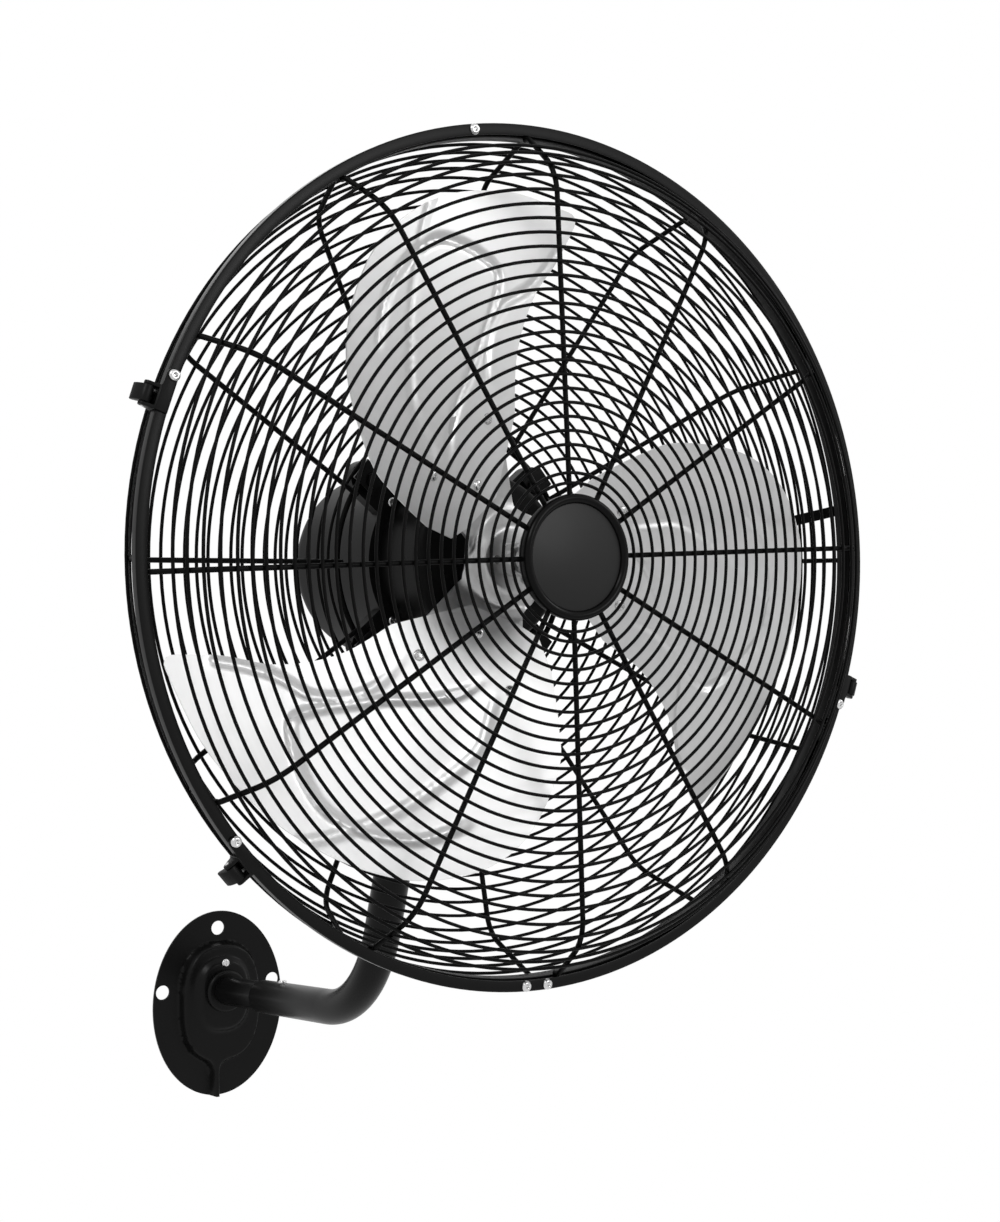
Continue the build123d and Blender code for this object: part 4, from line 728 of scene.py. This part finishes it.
def bladeMesh():
    lines = [(smoothLine(points), *rest) for points, *rest in creases]
    outline = bladeOutline()
    holes = [circleLoop(*polar(*item), blades["rivetHole"], 16) for item in blades["rivets"]]
    depths = {}

    def pressed(along, across):
        key = (round(along, 3), round(across, 3))
        if key not in depths:
            total = 0.0
            for line, half, deep, fadeIn, fadeOut in lines:
                gap, share = farFrom(Vector((along, across)), line)
                fade = ease(share / fadeIn) * ease((1 - share) / fadeOut)
                total = max(total, deep * fade * (1 - ease(gap / half)))
            depths[key] = total
        return bladeSurface(along, across, depths[key])

    def isFine(spot):
        return any(farFrom(spot, line)[0] < half + blades["fineBeyond"] for line, half, *_ in lines)

    flat = flatMesh(outline, holes, blades["spacing"], isFine)
    work = bmesh.new()
    pressSheet(work, flat, pressed, blades["thick"], lambda p: p)
    return finishMesh("bladeSheet", work)


def makeBlades():
    sheet = bladeMesh()
    for number, angle in enumerate(blades["angles"], start=1):
        data = sheet.copy()
        data.name = f"blade{number}"
        for vertex in data.vertices:
            p = vertex.co
            vertex.co = turnedPoint(p.x, p.z, p.y, angle)
        addPiece(f"blade{number}", data, "satin_aluminium", "rotor", f"blade_{number}")


# blade rivets: head, then shank and tail as (radius, height) behind the blade's face
rivet = {"headR": 4.8, "high": 2.0, "sunk": 0.2, "brim": 0.15,
         "shank": ((0.0, -4.4), (2.35, -4.4), (2.35, 0.0), (0.0, 0.0)),
         "tail": ((0.0, -5.9), (3.6, -5.9), (4.0, -5.3), (4.0, -4.4), (0.0, -4.4))}


def rivetHead(steps=6):
    radius, high, brim = rivet["headR"], rivet["high"], rivet["brim"]
    profile = [(0.0, -rivet["sunk"]), (radius, -rivet["sunk"]), (radius, high * brim)]
    for i in range(1, steps):
        dr, dh = polar(1.0, 90.0 * i / steps)
        profile.append((radius * dr, high * (brim + (1 - brim) * dh)))
    profile.append((0.0, high))
    return profile


def makeRivets():
    work = bmesh.new()
    centreY, centreB = bendCentre()
    side = Vector((1.0, 0.0, 0.0))
    for angle in blades["angles"]:
        for item in blades["rivets"]:
            along, across = polar(*item)
            spot = bladeSurface(along, across)
            out = Vector((0.0, centreY - spot.y, centreB - across)).normalized()
            out = -out if out.y > 0 else out
            over = out.cross(side)

            def toPoint(u, v, high):
                p = spot + side * u + over * v + out * high
                return turnedPoint(p.x, p.z, p.y, angle)

            lathe(work, rivetHead(), 28, toPoint)
            lathe(work, rivet["shank"], 20, toPoint)
            lathe(work, rivet["tail"], 24, toPoint)
    addPiece("bladeRivets", finishMesh("bladeRivets", work), "chrome_screw", "rotor", "blade_rivets")


# hub spider: a pressing whose paddles, as (radius, degrees) from their blade, lie behind the blades
hub = {"flatR": 26.0, "frontY": 40.0, "dishR": 42.0, "dish": 9.0, "thick": 3.0, "bore": 14.05, "behind": 1.25,
       "paddle": ((45.0, -10.0), (126.0, 4.0), (128.0, 30.0), (118.0, 58.0), (45.0, 70.0)),
       "between": (80.0, 90.0, 100.0), "middle": 30.0, "meltFrom": 28.0, "meltTo": 50.0,
       "sideMelt": (62.0, 20.0), "spacing": 4.0, "fineR": 60.0, "holeR": 19.0, "hole": 2.05,
       "rivetHole": 2.45}


def spiderRise(x, z):
    # a dished middle that melts into each paddle, which lies behind its blade
    reach = hypot(x, z)
    dish = hub["frontY"] + hub["dish"] * ease((reach - hub["flatR"]) / (hub["dishR"] - hub["flatR"]))
    turn = degrees(atan2(z, x))
    gaps = [((turn - angle - hub["middle"] + 180) % 360 - 180, angle) for angle in blades["angles"]]
    gap, angle = min(gaps, key=lambda item: abs(item[0]))
    along, across = polar(reach, turn - angle)
    centreY, centreB = bendCentre()
    sheet = centreY + sqrt((blades["bendR"] + hub["behind"]) ** 2 - (across - centreB) ** 2)
    share = ease((reach - hub["meltFrom"]) / (hub["meltTo"] - hub["meltFrom"]))
    share *= ease((hub["sideMelt"][0] - abs(gap)) / hub["sideMelt"][1])
    return Vector((x, dish + (sheet - dish) * share, z))


def makeSpider():
    outline = []
    for angle in blades["angles"]:
        outline += [polar(radius, angle + turn) for radius, turn in hub["paddle"]]
        outline += [polar(hub["dishR"], angle + turn) for turn in hub["between"]]
    holes = [circleLoop(0.0, 0.0, hub["bore"], 60)]
    holes += [circleLoop(*polar(hub["holeR"], angle + 90), hub["hole"], 16) for angle in blades["angles"]]
    holes += [circleLoop(*polar(radius, angle + turn), hub["rivetHole"], 16)
              for angle in blades["angles"] for radius, turn in blades["rivets"]]
    flat = flatMesh(outline, holes, hub["spacing"], lambda spot: spot.length < hub["fineR"])
    work = bmesh.new()
    pressSheet(work, flat, spiderRise, hub["thick"], lambda p: headPoint(*p))
    addPiece("bladeSpider", finishMesh("bladeSpider", work), "bright_steel", "rotor", "blade_spider")


# turned boss behind and through the spider; the nut's rows are (share of its width, y from the nose), and a
# share of 0 is its bore
boss = {"noseR": 14.0, "noseY": 26.0, "noseRound": 2.0, "flangeR": 24.0, "flangeBack": 48.0, "barrelR": 15.0,
        "barrelBack": 70.0, "shaftR": 6.05, "edge": 0.6, "seatEdge": 0.4, "flangeEdge": 0.8, "fillet": 1.5,
        "backEdge": 1.0, "nutR": 11.0, "nutFlat": 9.5,
        "nutRows": ((0.94, 0.0), (1.0, -0.6), (1.0, -7.2), (0.92, -8.0), (0.64, -8.0), (0.0, -7.6),
                    (0.0, 0.0))}


def makeBoss():
    shaft, nose, noseY, edge = boss["shaftR"], boss["noseR"], boss["noseY"], boss["edge"]
    flange, flangeBack, flangeEdge = boss["flangeR"], boss["flangeBack"], boss["flangeEdge"]
    barrel, barrelBack, fillet = boss["barrelR"], boss["barrelBack"], boss["fillet"]
    seat = hub["frontY"] + hub["thick"]
    profile = [(shaft, noseY + edge), (shaft + edge, noseY), (nose - boss["noseRound"], noseY),
               (nose - edge, noseY + edge), (nose, noseY + boss["noseRound"]), (nose, seat),
               (flange - boss["seatEdge"], seat), (flange, seat + boss["seatEdge"]),
               (flange, flangeBack - flangeEdge), (flange - flangeEdge, flangeBack),
               (barrel + fillet, flangeBack), (barrel, flangeBack + fillet),
               (barrel, barrelBack - boss["backEdge"]), (barrel - boss["backEdge"], barrelBack),
               (shaft, barrelBack)]
    turnedPiece("hubBoss", profile, 72, "bright_steel", "rotor", "hub_boss")
    work = bmesh.new()
    skin = []
    for share, y in boss["nutRows"]:
        ring = []
        for i in range(48):
            turn = 7.5 * i
            flat = boss["nutFlat"] / cos(radians((turn % 60) - 30))
            reach = shaft if share == 0.0 else min(flat, boss["nutR"]) * share
            x, z = polar(reach, turn)
            ring.append(headPoint(x, noseY + y, z))
        skin.append(ring)
    skinRows(work, skin)
    addPiece("shaftNut", finishMesh("shaftNut", work), "chrome_screw", "rotor", "shaft_nut")


cap = {"outer": 49.0, "back": -40.65, "base": 48.5, "wellR": 41.5, "wellY": -45.15, "lipY": -48.75,
       "lipR": 45.3, "shoulderY": -44.15, "skirtY": -43.6, "faceR": 41.2, "faceGap": 0.1, "faceThick": 0.5,
       "faceEdge": 0.3, "crown": 2.8, "segments": 160}


def makeCap():
    lip, high, well, wellY = cap["lipR"], cap["lipY"], cap["wellR"], cap["wellY"]
    profile = [(0.0, cap["back"]), (0.0, wellY), (well, wellY)]
    inside, outside = lip - well, cap["outer"] - lip
    for i in range(1, 8):
        run, rise = polar(1.0, 90.0 * i / 8)
        profile.append((well + inside * (1 - run), wellY + (high - wellY) * rise))
    profile.append((lip, high))
    for i in range(1, 9):
        rise, run = polar(1.0, 90.0 * i / 8)
        profile.append((lip + outside * run, cap["shoulderY"] + (high - cap["shoulderY"]) * rise))
    profile += [(cap["base"], cap["skirtY"]), (cap["base"], cap["back"])]
    turnedPiece("capBody", profile, cap["segments"], "cap_plastic", "head", "front_cap")
    face, edge = [(0.0, wellY)], cap["faceR"] + cap["faceGap"]
    for i in range(9):
        r = cap["faceR"] * i / 8
        face.append((r, wellY - cap["faceThick"] - cap["crown"] * (1 - (r / cap["faceR"]) ** 2)))
    face += [(edge, wellY - cap["faceEdge"]), (edge, wellY)]
    turnedPiece("capFace", face, cap["segments"], "cap_inlay", "head", "cap_face")


# wall plate: one pressing with a two-step dome and a cable channel; draw is the width of a step's slope
plate = {"wide": 148.0, "tall": 196.0, "drop": 18.0, "sheet": 2.0, "square": 2.5, "domeWide": 96.0,
         "domeTall": 132.0, "domeRise": 14.0, "domeDrop": 16.0, "draw": 7.0, "crownWide": 66.0,
         "crownTall": 84.0, "crownRise": 6.0, "crownUp": 9.0, "crownDraw": 9.0, "funnel": 14.0,
         "channelX": -6.0, "channelHalf": 7.6, "boreZ": -1.9, "boreR": 14.9,
         "holes": ((-63.3, 0.0), (63.3, 0.0), (0.0, 62.0)), "holeR": 7.5, "spacing": 3.4,
         "steep": 0.15, "probes": ((2, 0), (-2, 0), (0, 2), (0, -2)), "sharpAt": 50.0}


def insideOval(x, z, wide, tall):
    # how far a spot lies inside an oval's edge, in millimetres
    power = plate["square"]
    share = (abs(2 * x / wide) ** power + abs(2 * z / tall) ** power) ** (1 / power)
    reach = hypot(x, z)
    return wide / 2 if reach < 1.0 else reach * (1 / share - 1)


def plateRise(x, z):
    # the dome runs down into the cable channel like a funnel
    middle = z + plate["domeDrop"]
    dome = insideOval(x, middle, plate["domeWide"], plate["domeTall"])
    if middle < 0:
        channel = plate["channelHalf"] - abs(x - plate["channelX"])
        near = max(0.0, 1 - abs(dome - channel) / plate["funnel"])
        dome = max(dome, channel) + near * near * plate["funnel"] / 4
    crown = insideOval(x, middle - plate["crownUp"], plate["crownWide"], plate["crownTall"])
    domeShare, crownShare = ease(dome / plate["draw"]), ease(crown / plate["crownDraw"])
    return plate["domeRise"] * domeShare + plate["crownRise"] * crownShare


def makePlate():
    outline = []
    for i in range(120):
        x, z = polar(1.0, 3.0 * i)
        outline.append((x * plate["wide"] / 2, z * plate["tall"] / 2 - plate["drop"]))
    holes = [circleLoop(x, z, plate["holeR"], 40) for x, z in plate["holes"]]
    holes.append(circleLoop(0.0, plate["boreZ"], plate["boreR"], 48))

    def isFine(spot):
        here = plateRise(spot.x, spot.y)
        around = [plateRise(spot.x + dx, spot.y + dz) for dx, dz in plate["probes"]]
        return any(abs(rise - here) > plate["steep"] for rise in around)

    def pressed(x, z):
        return Vector((x, -max(plateRise(x, z), plate["sheet"]), z))

    flat = flatMesh(outline, holes, plate["spacing"], isFine)
    work = bmesh.new()
    pressSheet(work, flat, pressed, plate["sheet"], lambda p: p / 1000)
    addPiece("wallPlate", finishMesh("wallPlate", work, plate["sharpAt"]), "black_steel", "arm", "wall_plate")


# arm tube: pivot as (y, z), rise in degrees; edge is the size and the middle of the rounding at its ends
arm = {"tube": 33.3, "wall": 1.8, "drop": 4.0, "rise": 6.0, "runY": 334.0, "bendR": 126.0, "bendStep": 1.5,
       "start": 112.0, "pivot": (-436.0, 330.0), "yokeReach": 30.0, "edge": (0.5, 0.15), "segments": 72}


def armLine():
    # the tube's axis, as (y, z)
    slope = tan(radians(arm["rise"]))
    corner = Vector((-arm["runY"], arm["runY"] * slope - arm["drop"]))
    pivot = Vector(arm["pivot"])
    end = pivot - (pivot - corner).normalized() * arm["yokeReach"]
    start = (-arm["start"], arm["start"] * slope - arm["drop"])
    return roundedRoute([start, corner, end], [arm["bendR"]], arm["bendStep"])


def makeArm():
    line = armLine()
    outer, inner = arm["tube"] / 2, arm["tube"] / 2 - arm["wall"]
    edge, edgeMiddle = arm["edge"]
    section = [(outer - edge, 0.0), (outer - edgeMiddle, edgeMiddle), (outer, edge)]
    rows = []
    for index, spot in enumerate(line):
        before, after = line[max(0, index - 1)], line[min(len(line) - 1, index + 1)]
        way = (after - before).normalized()
        rows.append((spot, way))
    first, last = rows[0], rows[-1]
    rings = [(first, inner, 0.0)] + [(first, r, d) for r, d in section]
    rings += [(row, outer, 0.0) for row in rows[1:-1]]
    rings += [(last, r, -d) for r, d in reversed(section)] + [(last, inner, 0.0)]
    rings += [(row, inner, 0.0) for row in reversed(rows[1:-1])]
    skin = []
    for (spot, way), radius, shift in rings:
        ring = []
        for i in range(arm["segments"]):
            x, up = polar(radius, 360.0 * i / arm["segments"])
            y, z = spot.x + way.x * shift - way.y * up, spot.y + way.y * shift + way.x * up
            ring.append(Vector((x, y, z)) / 1000)
        skin.append(ring)
    work = bmesh.new()
    skinRows(work, skin)
    addPiece("armTube", finishMesh("armTube", work), "black_steel", "arm", "arm_tube")


# rim clips, drawn at +X as (outwards, back) or (outwards, along the rim). Cheek points are from the wall's
# outside and the pin, barrel and thumb points from the pin
clip = {"angles": (161.3, 220.5, 341.3), "half": 9.0, "front": -2.0, "seat": -0.1, "flange": (331.6, 341.5),
        "wall": (340.3, 342.3), "wallEdge": (0.2, 0.6, 0.5), "wallBack": 11.0, "pin": (349.0, 3.5),
        "earR": 3.5, "ear": 2.6, "cheekFront": ((-0.5, -5.0), (1.5, -4.4)),
        "cheekBack": ((1.5, 5.2), (-0.5, 6.0)), "screwShift": 18.5, "tabR": 4.6, "tabOut": 0.3,
        "tabSlope": (0.8, 3.0), "leverHalf": 6.1, "barrelR": 4.5, "hookIn": 334.0, "hook": (11.8, 15.0),
        "hookEdge": 0.9, "heelR": 2.5, "arm": (343.3, 346.3), "armTop": 4.4, "armFoot": 2.0,
        "thumbTop": ((0.0, 4.5), (2.3, 6.4)), "thumb": (6.2, 7.2), "thumbR": 1.8,
        "thumbUnder": ((7.2, 3.6), (5.4, 0.2)), "edge": 0.5, "sharpAt": 30.0}


def slab(work, outline, start, end, edge, toPoint):
    # an outline with thickness and rounded edges, added to a mesh
    part = bmesh.new()
    low = [part.verts.new((a, b, start)) for a, b in outline]
    high = [part.verts.new((a, b, end)) for a, b in outline]
    part.faces.new(low)
    part.faces.new(high[::-1])
    caps = list(part.faces)
    for i in range(len(outline)):
        j = (i + 1) % len(outline)
        part.faces.new((low[i], low[j], high[j], high[i]))
    bmesh.ops.recalc_face_normals(part, faces=part.faces)
    edges = [item for face in caps for item in face.edges]
    bmesh.ops.bevel(part, geom=edges, offset=edge, segments=2, affect="EDGES", profile=0.5)
    spots = {item: work.verts.new(toPoint(*item.co)) for item in part.verts}
    for face in part.faces:
        work.faces.new([spots[item] for item in face.verts])
    part.free()


def arc(x, y, radius, start, end, count=8):
    spots = [polar(radius, start + (end - start) * i / count) for i in range(count + 1)]
    return [(x + dx, y + dy) for dx, dy in spots]


def shifted(x, y, offsets):
    return [(x + dx, y + dy) for dx, dy in offsets]


def makeClipBase(work, angle):
    half, front, edge = clip["half"], clip["front"], clip["edge"]
    inner, outer = clip["flange"]
    slopeIn, slopeLong = clip["tabSlope"]

    def flatWay(a, b, c):
        return turnedPoint(a, b, c, angle)

    def upright(a, b, c):
        return turnedPoint(a, c, b, angle)

    tab = [(outer, half), (inner, half)]
    tab += arc(screws["onR"] + clip["tabOut"], -clip["screwShift"], clip["tabR"], 180, 360)
    tab += [(outer - slopeIn, -half - slopeLong), (outer, -half)]
    slab(work, tab, front, clip["seat"], edge, flatWay)
    near, far = clip["wall"]
    low, wide, narrow = clip["wallEdge"]
    wall = [(near, front + low), (near + wide, front), (far - narrow, front), (far, front + wide),
            (far, clip["wallBack"]), (near, clip["wallBack"])]
    slab(work, wall, -half, half, edge, upright)
    x, y = clip["pin"]
    cheek = shifted(far, y, clip["cheekFront"]) + arc(x, y, clip["earR"], -90, 90)
    cheek += shifted(far, y, clip["cheekBack"])
    for start in (-half, half - clip["ear"]):
        slab(work, cheek, start, start + clip["ear"], edge, upright)


def makeClips():
    work = bmesh.new()
    for angle in clip["angles"]:
        makeClipBase(work, angle)
    data = finishMesh("clipBases", work, clip["sharpAt"])
    addPiece("clipBases", data, "clip_plastic", "head", "clip_bases")
    x, y = clip["pin"]
    (hookFront, hookBack), (near, far) = clip["hook"], clip["arm"]
    hookIn, hookEdge, heel = clip["hookIn"], clip["hookEdge"], clip["heelR"]
    thumbX, thumbY = clip["thumb"]
    lever = [(hookIn, hookFront), (hookIn, hookBack - hookEdge), (hookIn + hookEdge, hookBack)]
    lever += arc(far - heel, hookBack - heel, heel, 90, 0, 5) + [(far, y + clip["armTop"])]
    lever += shifted(x, y, clip["thumbTop"]) + arc(x + thumbX, y + thumbY, clip["thumbR"], 130, -20, 6)
    lever += shifted(x, y, clip["thumbUnder"]) + arc(x, y, clip["barrelR"], -25, -180, 10)
    lever += [(near, y + clip["armFoot"]), (near, hookFront)]
    for number, angle in enumerate(clip["angles"], start=1):
        work = bmesh.new()
        slab(work, lever, -clip["leverHalf"], clip["leverHalf"], clip["edge"],
             lambda a, b, c: turnedPoint(a, c, b, angle))
        name = f"clipLever{number}"
        data = finishMesh(name, work, clip["sharpAt"])
        addPiece(name, data, "clip_plastic", f"clip_{number}", f"clip_lever_{number}")


# rim screws: three hold the clips, three the hoops; the head is (radius, y) with a dished drive
screws = {"onR": 335.6, "alone": (100.7, 266.8, 270.2), "end": 10.5, "shankR": 1.5,
          "head": ((0.0, -0.8), (0.9, -1.0), (1.7, -2.4), (2.3, -2.6), (3.2, -2.35), (3.9, -1.7), (4.3, -0.8),
                   (4.3, 0.0), (1.5, 0.0))}


def makeRimScrews():
    onR, end, turnBack = screws["onR"], screws["end"], degrees(clip["screwShift"] / screws["onR"])
    places = [(angle, 0.0) for angle in screws["alone"]]
    places += [(angle - turnBack, clip["front"]) for angle in clip["angles"]]
    work = bmesh.new()
    for angle, seat in places:
        profile = [(r, y + seat) for r, y in screws["head"]] + [(screws["shankR"], end), (0.0, end)]
        lathe(work, profile, 28, lambda u, v, y: turnedPoint(onR + u, v, y, angle))
    addPiece("rimScrews", finishMesh("rimScrews", work), "chrome_screw", "head", "rim_screws")


# plain pale floor, and a world that lights softly and shows white; floor sizes in metres
studio = {"ambient": 0.9, "white": 1.0, "floorAt": -1.0, "floorSize": 5.0, "floorMiddle": (0.5, -1.5),
          "paint": (0.84, 0.88), "rough": 0.6, "roughCloud": 0.1}


def makeStudio():
    floor = bpy.data.meshes.new("floor")
    half, z = studio["floorSize"] / 2, studio["floorAt"]
    x, y = studio["floorMiddle"]
    floor.from_pydata([(x - half, y - half, z), (x + half, y - half, z), (x + half, y + half, z),
                       (x - half, y + half, z)], [], [(0, 1, 2, 3)])
    item = bpy.data.objects.new("floor", floor)
    scene.collection.objects.link(item)
    paint = Finish("paleFloor")
    low, high = studio["paint"]
    shade = paint.blend(paint.noise(3.0), grey(low), grey(high))
    paint.wears(shade, studio["rough"] + paint.noise(8.0) * studio["roughCloud"])
    floor.materials.append(paint.material)
    scene.world = bpy.data.worlds.new("studio")
    sky = Graph(scene.world)
    rays = sky.node("ShaderNodeLightPath").outputs
    seen = Value(sky, rays["Is Camera Ray"])
    for name in ("Is Glossy Ray", "Is Transmission Ray"):
        seen = seen.maths("MAXIMUM", seen, rays[name])
    soft, white = (sky.node("ShaderNodeBackground", {}, {"Color": grey(1.0), "Strength": studio[key]})
                   for key in ("ambient", "white"))
    mix = sky.node("ShaderNodeMixShader", {}, {0: seen, 1: soft.outputs[0], 2: white.outputs[0]})
    sky.node("ShaderNodeOutputWorld", {}, {"Surface": mix.outputs[0]})
    scene.view_settings.view_transform = "Standard"


makeCamera()
makeLamps()
dressNodes()
makeGuards()
makeRim()
print("guards and rim made")
makeBlades()
makeRivets()
makeSpider()
makeBoss()
print("blades and hub made")
makeCap()
makePlate()
makeArm()
makeClips()
makeRimScrews()
print("cap, plate, arm and clips made")
makeStudio()
print("studio made")
